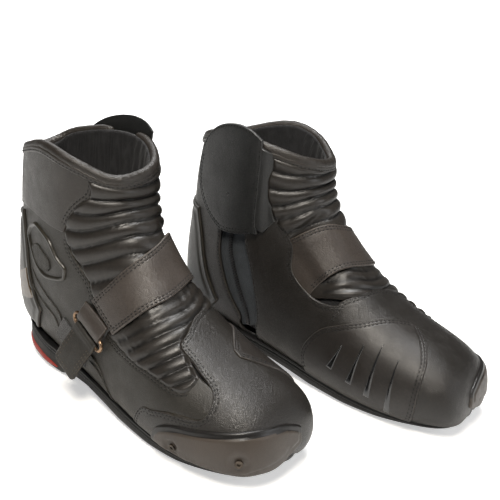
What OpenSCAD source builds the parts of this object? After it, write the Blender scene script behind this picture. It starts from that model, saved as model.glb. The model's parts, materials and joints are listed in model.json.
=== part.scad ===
// Pair of short riding boots.  Every boot is built from separate pieces that are laid
// over one last, a smooth closed foot shape.  A place on the last is given as [u, v]:
// u runs from the toe tip (0) to the collar (about 14.5), and v runs once round the
// section in twelve steps: 0 is the front ridge, 3 the inner side, 6 the sole or the
// heel back and 9 (or -3) the outer side.  Heights above the leather's face are in mm.

/* [Size] */
// Length from the back of the heel to the toe tip
boot_length = 313; // [290:1:335]
// Width across the ball of the foot
foot_width = 114; // [104:1:124]
// Height of the collar's rear edge above the ground
collar_height = 235; // [215:1:265]

/* [Pair] */
// Sideways distance between the two heels
heel_spacing = 152.6; // [145:0.2:220]
// How far the left heel stands in front of the right one
stagger = 70.5; // [0:0.5:90]
// Angle by which the left boot toes out
toe_out = 5; // [0:1:10]

/* [Layers] */
// Thickness of the upper leather
leather_t = 1.8; // [1.4:0.1:2]
// Thickness of the lining with its foam
lining_t = 1.4; // [1:0.1:1.8]
// Thickness of the moulded guards
guard_t = 2.4; // [1.6:0.1:2.6]
// Height of the padded collar roll
rim_h = 8.5; // [7:0.5:10]

/* [Hardware] */
// Diameter of the strap ring's wire
ring_wire = 3; // [2.4:0.1:3.2]
// Straight length of the strap ring's bars
ring_len = 34; // [30:0.5:36]
// Distance between the centre lines of the ring's two bars
ring_gap = 9; // [8:0.5:12]
// Radial play of every pivot
pivot_play = 0.05; // [0.03:0.01:0.1]

/* [Hidden] */
$fn = 32;
len_k = boot_length / 313;
wid_k = foot_width / 114;
ankle_z = 100;
shaft_k = (collar_height - ankle_z) / 135;
rest_f = 25; // the origin is this far in front of the heel back
gap = 0.6;

// ---- The last: fifteen cross-sections from toe to collar ----
// Each row: [forward and height of the sole-side point, forward and height of the
// ridge point, half width on the inner side, half width on the outer side]
LAST = [
    [303, 19, 300, 47, 25, 27], [297, 15, 288, 61, 42, 46], [272, 12, 262, 70, 51, 55],
    [239, 11, 230, 80, 55, 59], [204, 12, 201, 95, 55, 59], [164, 15, 177, 113, 49, 53],
    [122, 20, 158, 133, 43, 46], [76, 23, 144, 152, 41, 41], [29, 25, 137, 165, 42, 42],
    [-8, 38, 132, 176, 43, 43], [-10, 83, 130, 185, 43, 43], [-6, 123, 129, 200, 43, 44],
    [-5, 163, 129, 215, 44, 45], [2, 203, 130, 229, 46, 48], [9, 233, 133, 239, 47, 49]
];
LAST_N = len(LAST);
// Height of the collar edge, as u, at v = 0, 1, ... 11
COLLAR = [12.2, 12.7, 13.7, 14.3, 14.3, 14.1, 14.0, 14.0, 14.1, 14.25, 13.5, 12.3];

function clamp(x, lo, hi) = min(max(x, lo), hi);
function ease(x) = let (q = clamp(x, 0, 1)) q * q * (3 - 2 * q);
function mix(a, b, k) = a + (b - a) * k;
function lift(z) = z < ankle_z ? z : ankle_z + (z - ankle_z) * shaft_k;
function to_y(f) = (rest_f - f) * len_k;
function place(x, f, z) = [x * wid_k, to_y(f), lift(z)];

// Twelve control points of section i.  Foot sections are flat below and arched above,
// and shaft sections are oval; k blends from one to the other.
function section(i) =
    let (
        s = LAST[i],
        k = ease((i - 5.5) / 4.5),
        toe = clamp(1 - i / 3, 0, 1),
        shoulder = [mix(0.72, 0.77, k) + 0.08 * toe, mix(0.86, 0.98, k) + 0.06 * toe],
        widest = [mix(0.28, 0.50, k) + 0.12 * toe, 1],
        corner = [0.07 * k, mix(0.97, 0.62, k) - 0.05 * toe],
        shift = 5 * toe + 0.5 * (1 - k),
        half = [[1, 0], [1, mix(0.43, 0.53, k) + 0.06 * toe], shoulder, widest,
                corner, [0, corner[1] / 2], [0, 0]]
    )
    [for (j = [0 : 11]) let (
        p = half[j <= 6 ? j : 12 - j],
        w = j <= 6 ? p[1] * s[4] : -p[1] * s[5]
    ) place(w + shift, mix(s[0], s[2], p[0]), mix(s[1], s[3], p[0]))];

SECTIONS = [for (i = [0 : LAST_N - 1]) section(i)];
TOE_TIP = [for (k = [0 : 11]) 1] * SECTIONS[0] / 12;
NET = concat(
    [[for (p = SECTIONS[0]) 2 * TOE_TIP - p]],
    [[for (k = [0 : 11]) TOE_TIP]],
    SECTIONS,
    [[for (k = [0 : 11]) 2 * SECTIONS[LAST_N - 1][k] - SECTIONS[LAST_N - 2][k]]]
);

// ---- The last's surface: a cubic B-spline over the control net ----
function weights(t) =
    [pow(1 - t, 3), 3 * t * t * t - 6 * t * t + 4, -3 * t * t * t + 3 * t * t + 3 * t + 1, t * t * t] / 6;
function slopes(t) = [-(1 - t) * (1 - t), 3 * t * t - 4 * t, -3 * t * t + 2 * t + 1, t * t] / 2;
function cell(u) = clamp(floor(u), 0, LAST_N - 1);
function window(u, v) = let (i = cell(u), j = floor(v) + 23)
    [for (a = [0 : 3]) [for (b = [0 : 3]) NET[i + a][(j + b) % 12]]];
function pos(u, v) = let (bv = weights(v - floor(v)))
    weights(u - cell(u)) * [for (row = window(u, v)) bv * row];
function along_u(u, v) = let (bv = weights(v - floor(v)))
    slopes(u - cell(u)) * [for (row = window(u, v)) bv * row];
function along_v(u, v) = let (dv = slopes(v - floor(v)))
    weights(u - cell(u)) * [for (row = window(u, v)) dv * row];
function unit(a) = a / norm(a);
function outward(u, v) = unit(cross(along_v(u, v), along_u(u, v)));
function raised(u, v, h) = pos(u, v) + h * outward(u, v);
// u moved by a distance in mm towards the collar
function moved(edge, du, dv) = [for (p = edge) [p[0] + du, p[1] + dv]];
function shift_u(u, v, mm) = u + mm / norm(along_u(u, v));

// Smooth curve through control points, s from 0 to 1
function curve(c, s) =
    let (
        n = len(c) - 1, x = clamp(s, 0, 1) * n, i = min(floor(x), n - 1), t = x - i,
        a = c[max(i - 1, 0)], b = c[i], d = c[i + 1], e = c[min(i + 2, n)]
    )
    0.5 * (2 * b + (d - a) * t + (2 * a - 5 * b + 4 * d - e) * t * t + (3 * b - a - 3 * d + e) * t * t * t);
function collar_u(v) =
    let (x = v + 24, i = floor(x), t = x - i,
         a = COLLAR[(i - 1) % 12], b = COLLAR[i % 12], d = COLLAR[(i + 1) % 12], e = COLLAR[(i + 2) % 12])
    0.5 * (2 * b + (d - a) * t + (2 * a - 5 * b + 4 * d - e) * t * t + (3 * b - a - 3 * d + e) * t * t * t);
// Line of the collar's seam, a rim's height below the collar edge
function seam_u(v, below = rim_h + 0.6) = shift_u(collar_u(v), v, -below);
function seam_points(v0, v1, n, below = rim_h + 0.6) =
    [for (k = [0 : n]) let (v = mix(v0, v1, k / n)) [seam_u(v, below), v]];

// ---- Grids of [u, v] between edges ----
edge_trim = 0.004;
function step(i, n) = edge_trim + (1 - 2 * edge_trim) * i / n;
// Between two edges that run the same way
function ruled(a, b, m, n) =
    [for (i = [0 : m]) let (s = step(i, m), p = curve(a, s), q = curve(b, s))
        [for (j = [0 : n]) mix(p, q, step(j, n))]];
// Inside four edges: bottom and top run with s, left and right run with t
function filled(bottom, top, left, right, m, n) =
    let (c00 = curve(bottom, 0), c10 = curve(bottom, 1), c01 = curve(top, 0), c11 = curve(top, 1))
    [for (i = [0 : m]) let (s = step(i, m), p = curve(bottom, s), q = curve(top, s))
        [for (j = [0 : n]) let (t = step(j, n))
            mix(p, q, t) + mix(curve(left, t), curve(right, t), s)
                - mix(mix(c00, c10, s), mix(c01, c11, s), t)]];
// Near the toe tip the [u, v] map is treated as a polar one, so edges may pass the tip
function to_plane(p) = [p[0] * cos(30 * p[1]), p[0] * sin(30 * p[1])];
function from_plane(p) = [norm(p), atan2(p[1], p[0]) / 30];
function plane_edge(e) = [for (p = e) to_plane(p)];
function back_to_last(g) = [for (row = g) [for (p = row) from_plane(p)]];

// Closed shell over a grid, from height h0 to height h1 above the leather's face.
// bump is [u, v, spread in u, spread in v, extra height], a soft bulge of the outside.
module shell(grid, h0, h1, bump = [0, 0, 1, 1, 0]) {
    m = len(grid) - 1;
    n = len(grid[0]) - 1;
    count = (m + 1) * (n + 1);
    function top_h(p) = h1 + bump[4]
        * exp(-pow((p[0] - bump[0]) / bump[2], 2) - pow((p[1] - bump[1]) / bump[3], 2));
    outer = [for (row = grid) for (p = row) raised(p[0], p[1], top_h(p))];
    inner = [for (row = grid) for (p = row) raised(p[0], p[1], h0)];
    function id(i, j) = i * (n + 1) + j;
    faces = concat(
        [for (i = [0 : m - 1]) for (j = [0 : n - 1]) each [
            [id(i, j), id(i, j + 1), id(i + 1, j + 1)], [id(i, j), id(i + 1, j + 1), id(i + 1, j)],
            [count + id(i, j), count + id(i + 1, j + 1), count + id(i, j + 1)],
            [count + id(i, j), count + id(i + 1, j), count + id(i + 1, j + 1)]]],
        [for (j = [0 : n - 1]) each concat(
            wall(id(0, j + 1), id(0, j), count), wall(id(m, j), id(m, j + 1), count))],
        [for (i = [0 : m - 1]) each concat(
            wall(id(i, 0), id(i + 1, 0), count), wall(id(i + 1, n), id(i, n), count))]
    );
    function wall(a, b, c) = [[a, b, c + b], [a, c + b, c + a]];
    mid = id(floor(m / 2), floor(n / 2));
    turn = cross(outer[mid + n + 1] - outer[mid], outer[mid + 1] - outer[mid]) * (outer[mid] - inner[mid]);
    polyhedron(concat(outer, inner), turn > 0 ? faces : [for (f = faces) [f[2], f[1], f[0]]]);
}

// ---- Edges that more than one piece shares ----
LASTED_OUT = [[5.7, -4.5], [6.9, -4.5], [8, -4.5], [8.8, -4.7], [9.2, -5.1], [9.42, -5.5], [9.5, -5.96]];
LASTED_IN = [[8.1, 4.5], [8.5, 4.55], [8.8, 4.7], [9.2, 5.1], [9.42, 5.5], [9.5, 5.96]];
LOBE = [[5.7, -4.5], [5.27, -3.21], [4.75, -2.82], [4.27, -2.6], [3.67, -2.42], [3.33, -2.24],
        [3.21, -1.94], [3.27, -1.57], [3.5, -1.35], [3.85, -1.25]];
SHIN_OUT = [[7.1, -2.4], [8, -2.17], [8.92, -2.07], [9.65, -2.09], [10.56, -2.17], [11.07, -2.12],
            [11.43, -1.88], [11.75, -1.53]];
SHIN_IN = [[7.1, 2.17], [7.8, 2.1], [8.35, 1.8], [9.17, 1.74], [10.44, 1.84], [11.39, 1.98],
           [12.11, 2.02], [12.75, 1.92]];
LOBE_IN = [[5.78, -4.46], [5.38, -3.18], [4.86, -2.76], [4.35, -2.53], [3.74, -2.35], [3.41, -2.19],
           [3.29, -1.93], [3.35, -1.64], [3.56, -1.45], [3.87, -1.38]];
PANEL_LOW = [[10.9, -2.3], [11.55, -2.82], [12.11, -3.3], [12.48, -3.9], [12.6, -5], [12.6, -5.96]];
ZIP_FRONT = [[7.75, 3.75], [7.95, 3.3], [8.54, 2.9], [9.31, 2.66], [10.29, 2.58], [11.4, 2.58],
             [12.5, 2.6], [13.4, 2.6]];
ZIP_REAR = [[8.15, 4.1], [8.3, 3.72], [8.95, 3.42], [9.71, 3.24], [10.58, 3.22], [11.5, 3.22],
            [12.6, 3.24], [13.7, 3.26]];

// ---- Upper ----
module vamp() {
    tread = [for (k = [0 : 12]) [0.05, -5.9 + 11.8 * k / 12]];
    rear = concat(LOBE, [[4.2, -1.15], [4.72, -1.1], [4.84, -0.72], [5.05, -0.27], [5.2, 0.13], [5.44, 1.06],
                         [6.0, 1.82], [6.4, 2.2], [6.5, 3], [6.55, 3.8], [6.6, 4.5]]);
    left = [[0.05, -5.9], [0.9, -5.8], [1.3, -5.2], [2, -4.7], [3, -4.5], [4.3, -4.5], [5.7, -4.5]];
    right = [[0.05, 5.9], [0.9, 5.8], [1.3, 5.2], [2, 4.7], [3, 4.5], [4.6, 4.5], [6.6, 4.5]];
    color("#34302d")
    difference() {
        shell(filled(tread, rear, left, right, 24, 13), -leather_t, 0);
        screw_holes();
    }
}
module medial_quarter() {
    low = [[6.4, 2.25], [6.5, 3], [6.55, 3.8], [6.6, 4.5]];
    top = seam_points(1.95, 2.6, 2);
    left = concat([[6.4, 2.25]], SHIN_IN, [[seam_u(1.95), 1.95]]);
    right = concat([[6.6, 4.5], [7.4, 4.45]], ZIP_FRONT, [[seam_u(2.6), 2.6]]);
    color("#2f2c2a") shell(filled(low, top, left, right, 5, 14), -leather_t, 0);
}
module lateral_quarter() {
    top = concat([[3.87, -1.38], [3.95, -1.76], [4.16, -1.97], [4.56, -2.08], [5.02, -2.15], [5.82, -2.35],
                  [6.6, -2.5], [7.5, -2.48], [8.36, -2.31], [9.65, -2.28]], PANEL_LOW);
    back = [for (k = [0 : 4]) [mix(9.5, 12.6, k / 4), -5.96]];
    color("#36312e") shell(filled(LASTED_OUT, top, LOBE_IN, back, 20, 12), -leather_t, 0);
}
module rear_quarter() {
    top = seam_points(3.26, 5.96, 5);
    left = concat([[8.1, 4.5]], ZIP_REAR, [[seam_u(3.26), 3.26]]);
    back = [for (k = [0 : 4]) [mix(9.5, seam_u(5.96), k / 4), 5.96]];
    color("#2f2c2a") shell(filled(LASTED_IN, top, left, back, 8, 12), -leather_t, 0);
}
module shin_bellows() {
    low = [for (k = [0 : 4]) [7.1, mix(-2.4, 2.1, k / 4)]];
    top = seam_points(-1.53, 1.85, 5);
    color("#3b3733") shell(filled(low, top, SHIN_OUT, moved(SHIN_IN, 0, -0.07), 9, 12), -leather_t, 0);
}
module instep_bellows() {
    left = [[4.0, -1.55], [4.08, -1.7], [4.24, -1.84], [4.56, -1.94], [5.02, -2.01], [5.82, -2.2],
            [6.98, -2.32]];
    right = [[4.02, -1.45], [4.42, -1.33], [4.84, -1.14], [4.99, -0.7], [5.27, 0.1], [5.58, 1.02],
             [6.98, 2.02]];
    color("#3b3733") shell(ruled(left, right, 8, 10), -leather_t, 0);
}
module ankle_panel() {
    low = moved(PANEL_LOW, 0.08, 0);
    top = seam_points(-1.63, -5.96, 7);
    left = [[10.98, -2.3], [11.2, -2.27], [11.48, -2.02], [11.75, -1.7], [seam_u(-1.63), -1.63]];
    back = [for (k = [0 : 2]) [mix(12.68, seam_u(-5.96), k / 2), -5.96]];
    color("#3a3430") shell(filled(low, top, left, back, 12, 4), -leather_t, 0);
}
// Padded roll round the collar, an ellipse swept from one side of the zip to the other
module collar_rim() {
    steps = 34;
    around = 8;
    depth = 3.4;
    path = [for (k = [0 : steps]) let (v = mix(2.64, -8.72, k / steps)) [seam_u(v, rim_h / 2), v]];
    points = [for (p = path) let (
        c = raised(p[0], p[1], -depth + 0.8), out = outward(p[0], p[1]),
        up = unit(along_u(p[0], p[1]))
    ) for (a = [0 : around - 1]) c + depth * cos(360 * a / around) * out
        + rim_h / 2 * sin(360 * a / around) * up];
    side = [for (k = [0 : steps - 1]) for (a = [0 : around - 1]) let (b = (a + 1) % around) each [
        [k * around + a, k * around + b, (k + 1) * around + b],
        [k * around + a, (k + 1) * around + b, (k + 1) * around + a]]];
    caps = [[for (a = [around - 1 : -1 : 0]) a], [for (a = [0 : around - 1]) steps * around + a]];
    color("#35302d") polyhedron(points, concat(side, caps));
}
module closure_flap() {
    front = [[10, 2.23], [10.6, 2.25], [11.4, 2.25], [12.3, 2.25], [13.2, 2.25], [14.15, 2.3]];
    rear = [[10.25, 2.42], [10.9, 3.05], [11.5, 3.4], [12.2, 3.72], [12.9, 3.96], [13.7, 4.02]];
    top = [[14.15, 2.3], [14.6, 2.65], [14.78, 3.05], [14.62, 3.5], [14.2, 3.85], [13.7, 4.02]];
    low = [[10, 2.23], [10.03, 2.28], [10.1, 2.35], [10.25, 2.42]];
    color("#3a3a3a") shell(filled(low, top, front, rear, 6, 10), flap_h, flap_h + leather_t + 0.2);
}
flap_h = 4.2;

// ---- Inside ----
module lining() {
    low = [for (k = [0 : 8]) [0.4, -5 + 10 * k / 8]];
    top = seam_points(-5.93, 5.93, 16);
    left = [[0.4, -5], [1.2, -4.4], [2.4, -3.8], [3.6, -3.65], [4.8, -3.6], [6, -3.65], [7.2, -3.85],
            [8.2, -4.3], [8.9, -4.9], [9.4, -5.5], [10.2, -5.93], [11.4, -5.93], [12.6, -5.93],
            [seam_u(-5.93), -5.93]];
    right = [for (p = left) [p[0], -p[1]]];
    color("#26272b") shell(filled(low, top, left, right, 18, 21), -5.6 - lining_t, -5.6);
}
module toe_puff() {
    low = [for (k = [0 : 8]) [0.35, -4.6 + 9.2 * k / 8]];
    top = [for (k = [0 : 8]) [2.3, -3.6 + 0.9 * k]];
    left = [[0.35, -4.6], [1.4, -3.9], [2.3, -3.6]];
    right = [for (p = left) [p[0], -p[1]]];
    color("#8d8672") shell(filled(low, top, left, right, 16, 5), -4.1, -3);
}
module heel_counter() {
    low = [[8.95, 4.4], [9.3, 4.9], [9.55, 5.5], [9.65, 6], [9.55, 6.5], [9.3, 7.1], [8.95, 7.6]];
    top = [[11, 4.4], [11.3, 5], [11.5, 5.5], [11.55, 6], [11.5, 6.5], [11.3, 7], [11, 7.6]];
    color("#8d8672") shell(ruled(low, top, 14, 5), -4.4, -3.3);
}

// ---- Moulded guards, laid on the leather ----
module heel_guard() {
    low = [[9.05, 3.75], [9.1, 4.2], [9.3, 4.8], [9.52, 5.4], [9.6, 6], [9.52, 6.6], [9.3, 7.2],
           [9.1, 7.8], [9.25, 8.42]];
    top = [[12.05, 4], [12.3, 4.6], [12.45, 5.3], [12.5, 6], [12.45, 6.7], [12.4, 7.4], [12.3, 8.1]];
    left = [[9.05, 3.75], [9.6, 3.6], [10.3, 3.58], [11.2, 3.74], [12.05, 4]];
    right = [[9.25, 8.42], [9.9, 8.5], [10.5, 8.45], [11.5, 8.28], [12.3, 8.1]];
    bump = [10.9, 6, 0.3, 0.7, 6.5];
    color("#1d1c1c") shell(filled(low, top, left, right, 16, 11), gap, gap + guard_t, bump);
}
module ankle_cup() {
    front = [[11.75, -3.42], [11.3, -3.05], [10.76, -2.74], [10.1, -2.55], [9.5, -2.47], [9.25, -2.58]];
    rear = [[11.68, -3.55], [11.3, -3.38], [10.79, -3.3], [10.3, -3.17], [9.82, -2.98], [9.32, -2.72]];
    color("#2a2725") shell(ruled(front, rear, 8, 3), gap, gap + guard_t - 0.4);
}
module toe_slider() {
    top = plane_edge([[4.8, -3.85], [4.7, -3.46], [4.5, -3.1], [4.07, -2.8], [3.48, -2.6], [2.78, -2.35],
                      [2.05, -2.0], [1.45, -1.5], [1.02, -0.6], [0.75, 0.3], [0.6, 1.3]]);
    low = plane_edge([[4.72, -3.9], [4.5, -3.92], [4.1, -3.92], [3.5, -3.92], [2.9, -3.92], [2.3, -3.88],
                      [1.7, -3.9], [1.02, -4.35], [0.66, -5.2], [0.48, -6.6], [0.38, -8]]);
    color("#3a3531")
    difference() {
        shell(back_to_last(ruled(top, low, 20, 5)), gap, gap + guard_t);
        screw_holes();
    }
}
module shift_pad() {
    front = [[3.15, 4.1], [2.98, 3.4], [2.88, 2.7], [2.8, 2], [2.85, 1.4], [3.15, 0.75], [3.6, 0.2]];
    rear = [[6.15, 4.1], [6.35, 3.5], [6.33, 3], [6.05, 2.5], [5.5, 2.05], [4.8, 1.45], [3.85, 0.25]];
    color("#2c2927") shell(ruled(front, rear, 12, 7), gap + 0.6, gap + 0.6 + leather_t);
}
module loop_patch() {
    front = [[8.5, -3.15], [7.9, -3.2], [7.3, -3.25]];
    rear = [[8.5, -3.7], [7.9, -3.85], [7.3, -3.8]];
    color("#1c1c1e") shell(ruled(front, rear, 4, 3), gap, gap + 1);
}

// ---- Toe slider screws ----
SCREWS = [[4.05, -3.55], [2.15, -3.3]];
screw_r = 1.6;
screw_head_r = 3.3;
// Rigid frame: x along the first direction, z along the second
module seat(c, along, out) {
    z = unit(out);
    x = unit(along - (along * z) * z);
    y = cross(z, x);
    multmatrix([[x[0], y[0], z[0], c[0]], [x[1], y[1], z[1], c[1]], [x[2], y[2], z[2], c[2]], [0, 0, 0, 1]])
        children();
}
module at_screw(p) seat(pos(p[0], p[1]), along_u(p[0], p[1]), outward(p[0], p[1])) children();
module screw_holes() {
    for (p = SCREWS) at_screw(p) {
        translate([0, 0, -4]) cylinder(r = screw_r + 0.15, h = 12);
        translate([0, 0, guard_t - 0.7]) cylinder(r = screw_head_r + 0.5, h = 6);
    }
}
module slider_screws() {
    color("#4a4541")
    for (p = SCREWS) at_screw(p) difference() {
        union() {
            translate([0, 0, guard_t - 0.5]) cylinder(r = screw_head_r, h = 1.8);
            translate([0, 0, -leather_t - 0.4]) cylinder(r = screw_r, h = guard_t + leather_t);
        }
        translate([0, 0, guard_t + 0.3]) cylinder(r = 1.5, h = 3, $fn = 6);
    }
}

// ---- Sole stack ----
// Ground line of the tread, heel to toe: [forward, height]
GROUND = [[-20, 30], [-2, 15], [6, 7], [14, 0], [66, 0], [76, 4], [92, 7], [110, 8], [135, 5], [160, 1.5],
          [200, 0], [235, 1.5], [260, 4], [285, 7.5], [320, 14]];
// Side view of the coloured heel wedge, a thin lens low in the heel
WEDGE = [[64, 4.5], [40, 4], [22, 5], [12, 8.5], [4, 15], [8, 18], [20, 13], [40, 10], [64, 8.5]];
glue = 0.1;
midsole_t = 3.5;
first_u = 1.2;
last_u = 9.2;
LAST_BOTTOM = concat(
    [[to_y(320), pos(first_u, 6)[2]]],
    [for (u = [first_u : 0.5 : last_u]) let (p = pos(u, 6)) [p[1], p[2]]],
    [[to_y(-20), pos(last_u, 6)[2]]]
);
function raise(line, dz) = [for (p = line) [p[0], p[1] + dz]];
function reverse(c) = [for (k = [len(c) - 1 : -1 : 0]) c[k]];
function side_points(c) = [for (p = c) [to_y(p[0]), p[1]]];
// Outline seen from above: the last at v from toe_u, closed round the heel at heel_u
function outline(v, toe_u, heel_u, widen) =
    let (
        inner = [for (u = [toe_u : 0.6 : heel_u - 0.2]) pos(u, v)],
        heel = [for (k = [0 : 8]) pos(heel_u, mix(v, 12 - v, k / 8))],
        outer = [for (u = [toe_u : 0.6 : heel_u - 0.2]) pos(u, 12 - v)],
        loop = concat(inner, heel, reverse(outer)), n = len(loop)
    )
    [for (k = [0 : n - 1]) let (
        d = loop[(k + 1) % n] - loop[(k + n - 1) % n], t = [d[0], d[1]] / norm([d[0], d[1]])
    ) [loop[k][0], loop[k][1]] + widen * [-t[1], t[0]] * -1];
module seen_from_side(points, grow = 0)
    translate([-100, 0, 0]) rotate([90, 0, 90]) linear_extrude(200) offset(delta = grow) polygon(points);
module cut_from(outline_points, side_view) intersection() {
    linear_extrude(70) polygon(outline_points);
    seen_from_side(side_view);
}
module slab(outline_points, low, high)
    cut_from(outline_points, concat(raise(LAST_BOTTOM, low), reverse(raise(LAST_BOTTOM, high))));
SOLE_PLAN = outline(4, 0.5, 10.2, 1);
BOARD_PLAN = outline(4.8, 1, 8.9, -4);
FOOTBED_PLAN = outline(4.9, 1.8, 8.7, -5);

module outsole() {
    color("#17171a")
    difference() {
        cut_from(SOLE_PLAN, concat(raise(LAST_BOTTOM, -midsole_t - 0.6 - glue), side_points(GROUND)));
        seen_from_side(side_points(WEDGE), glue);
    }
}
module heel_insert() {
    color("#9a3a36")
    intersection() {
        slab(SOLE_PLAN, -35, -midsole_t - 0.6 - glue);
        seen_from_side(side_points(WEDGE));
    }
}
module midsole() color("#121214") slab(SOLE_PLAN, -midsole_t - 0.6, -0.6);
module shank() {
    color("silver")
    intersection() {
        slab(BOARD_PLAN, 0.3, 1.6);
        translate([-9, to_y(190), 0]) cube([18, 120 * len_k, 70]);
    }
}
module insole_board() color("#a08a68") slab(BOARD_PLAN, 2, 4);
module footbed() color("#3c3d42") slab(FOOTBED_PLAN, 4.4, 8);

// ---- Zip ----
module zip_tape() {
    front = [for (p = ZIP_FRONT) [p[0], p[1] - 0.12]];
    rear = [for (p = ZIP_REAR) [p[0], p[1] + 0.12]];
    color("#4b4f55") shell(ruled(front, rear, 12, 3), -3.6, -2.7);
}
ZIP_TOP = raised(13.1, 2.92, 0);
ZIP_LOW = raised(10.9, 2.9, 0);
module at_zip() seat(ZIP_TOP, ZIP_LOW - ZIP_TOP, outward(13.1, 2.92)) children();
post_r = 0.9;
module zip_slider() {
    color("#6b6b6b")
    at_zip() {
        translate([-6, -4, -1.6]) cube([12, 8, 2.2]);
        cylinder(r = post_r, h = 2.4);
        translate([0, 0, 2.4]) cylinder(r = post_r + 0.9, h = 0.7);
    }
}
module zip_puller() {
    color("#2a2a2a")
    at_zip() translate([0, 0, 0.85]) linear_extrude(1.3) difference() {
        union() {
            circle(r = 3);
            translate([0, -3]) square([17, 6]);
            translate([17, 0]) circle(r = 3);
        }
        circle(r = post_r + pivot_play);
    }
}

// ---- Instep strap, its ring and pull tab ----
bar_h = 5;
bar_r = ring_wire / 2;
loop_wall = 1.2;
strap_h = 2.6;
RING_A = raised(8.1, -2.72, bar_h);
RING_B = raised(6.85, -2.68, bar_h);
// Frame of the ring: x along its front bar, y towards the heel, z outwards
module at_ring() seat((RING_A + RING_B) / 2, RING_A - RING_B, outward(7.5, -2.8)) children();
module bar(r, length) translate([-length / 2, 0, 0]) rotate([0, 90, 0]) cylinder(r = r, h = length);
module instep_strap() {
    top = [[8.75, 1.8], [8.3, 1.15], [7.9, 0.5], [7.62, -0.2], [7.5, -0.95], [7.65, -1.75], [8.0, -2.54]];
    low = [[6.8, 2], [6.5, 1.35], [6.2, 0.7], [6, 0], [5.92, -0.8], [6.25, -1.7], [6.85, -2.54]];
    color("#4a433e")
    difference() {
        union() {
            shell(ruled(top, low, 12, 3), strap_h, strap_h + leather_t + 0.2);
            at_ring() bar(bar_r + pivot_play + loop_wall, ring_len - 2);
            at_ring() translate([-ring_len / 2 + 1, -9, -1.6]) cube([ring_len - 2, 9, 2.2]);
        }
        at_ring() bar(bar_r + pivot_play, ring_len + 10);
    }
}
module strap_ring() {
    color("#6e6358")
    at_ring() {
        bar(bar_r, ring_len);
        translate([0, ring_gap, 0]) bar(bar_r, ring_len);
        for (s = [0, 1]) mirror([s, 0, 0]) translate([ring_len / 2, ring_gap / 2, 0])
            rotate([0, 0, -90]) rotate_extrude(angle = 180) translate([ring_gap / 2, 0]) circle(r = bar_r);
    }
}
tab_len = 30;
tab_tilt = 4;
module pull_tab() {
    width = ring_len - 3;
    color("#38322e")
    at_ring() translate([0, ring_gap, 0]) rotate([-tab_tilt, 0, 0]) difference() {
        union() {
            bar(bar_r + pivot_play + loop_wall, width);
            translate([0, 0, -1.2]) linear_extrude(2.4)
                polygon([[-width / 2, 0], [width / 2, 0], [width / 2, tab_len - 4], [width / 2 - 4, tab_len],
                         [4 - width / 2, tab_len], [-width / 2, tab_len - 4]]);
        }
        bar(bar_r + pivot_play, ring_len + 10);
    }
}

// ---- The pair: each boot stands in its own place ----
module right() children();
module left() translate([heel_spacing, -stagger, 0]) rotate([0, 0, toe_out]) mirror([1, 0, 0]) children();

right() outsole();  // right_outsole
right() heel_insert();  // right_heel_insert
right() midsole();  // right_midsole
right() shank();  // right_shank
right() insole_board();  // right_insole_board
right() footbed();  // right_footbed
right() toe_puff();  // right_toe_puff
right() heel_counter();  // right_heel_counter
right() lining();  // right_lining
right() vamp();  // right_vamp
right() medial_quarter();  // right_medial_quarter
right() lateral_quarter();  // right_lateral_quarter
right() rear_quarter();  // right_rear_quarter
right() shin_bellows();  // right_shin_bellows
right() instep_bellows();  // right_instep_bellows
right() collar_rim();  // right_collar_rim
right() ankle_panel();  // right_ankle_panel
right() heel_guard();  // right_heel_guard
right() ankle_cup();  // right_ankle_cup
right() toe_slider();  // right_toe_slider
right() slider_screws();  // right_slider_screws
right() shift_pad();  // right_shift_pad
right() zip_tape();  // right_zip_tape
right() zip_slider();  // right_zip_slider
right() zip_puller();  // right_zip_puller
right() closure_flap();  // right_closure_flap
right() instep_strap();  // right_instep_strap
right() strap_ring();  // right_strap_ring
right() pull_tab();  // right_pull_tab
right() loop_patch();  // right_loop_patch
left() outsole();  // left_outsole
left() heel_insert();  // left_heel_insert
left() midsole();  // left_midsole
left() shank();  // left_shank
left() insole_board();  // left_insole_board
left() footbed();  // left_footbed
left() toe_puff();  // left_toe_puff
left() heel_counter();  // left_heel_counter
left() lining();  // left_lining
left() vamp();  // left_vamp
left() medial_quarter();  // left_medial_quarter
left() lateral_quarter();  // left_lateral_quarter
left() rear_quarter();  // left_rear_quarter
left() shin_bellows();  // left_shin_bellows
left() instep_bellows();  // left_instep_bellows
left() collar_rim();  // left_collar_rim
left() ankle_panel();  // left_ankle_panel
left() heel_guard();  // left_heel_guard
left() ankle_cup();  // left_ankle_cup
left() toe_slider();  // left_toe_slider
left() slider_screws();  // left_slider_screws
left() shift_pad();  // left_shift_pad
left() zip_tape();  // left_zip_tape
left() zip_slider();  // left_zip_slider
left() zip_puller();  // left_zip_puller
left() closure_flap();  // left_closure_flap
left() instep_strap();  // left_instep_strap
left() strap_ring();  // left_strap_ring
left() pull_tab();  // left_pull_tab
left() loop_patch();  // left_loop_patch
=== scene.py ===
"""Looks of the pair of riding boots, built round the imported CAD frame.

All shapes are worked out in millimetres for the right boot in the row frame (toes to -Y),
from the same last surface as the CAD, and mirrored into the left boot's place.
A place on the last is (u, v): u runs from the toe tip to the collar, v once round in 12 steps.
"""
import json
import math

import bpy
import numpy as np
from mathutils import Matrix, Vector, kdtree, noise

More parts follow.
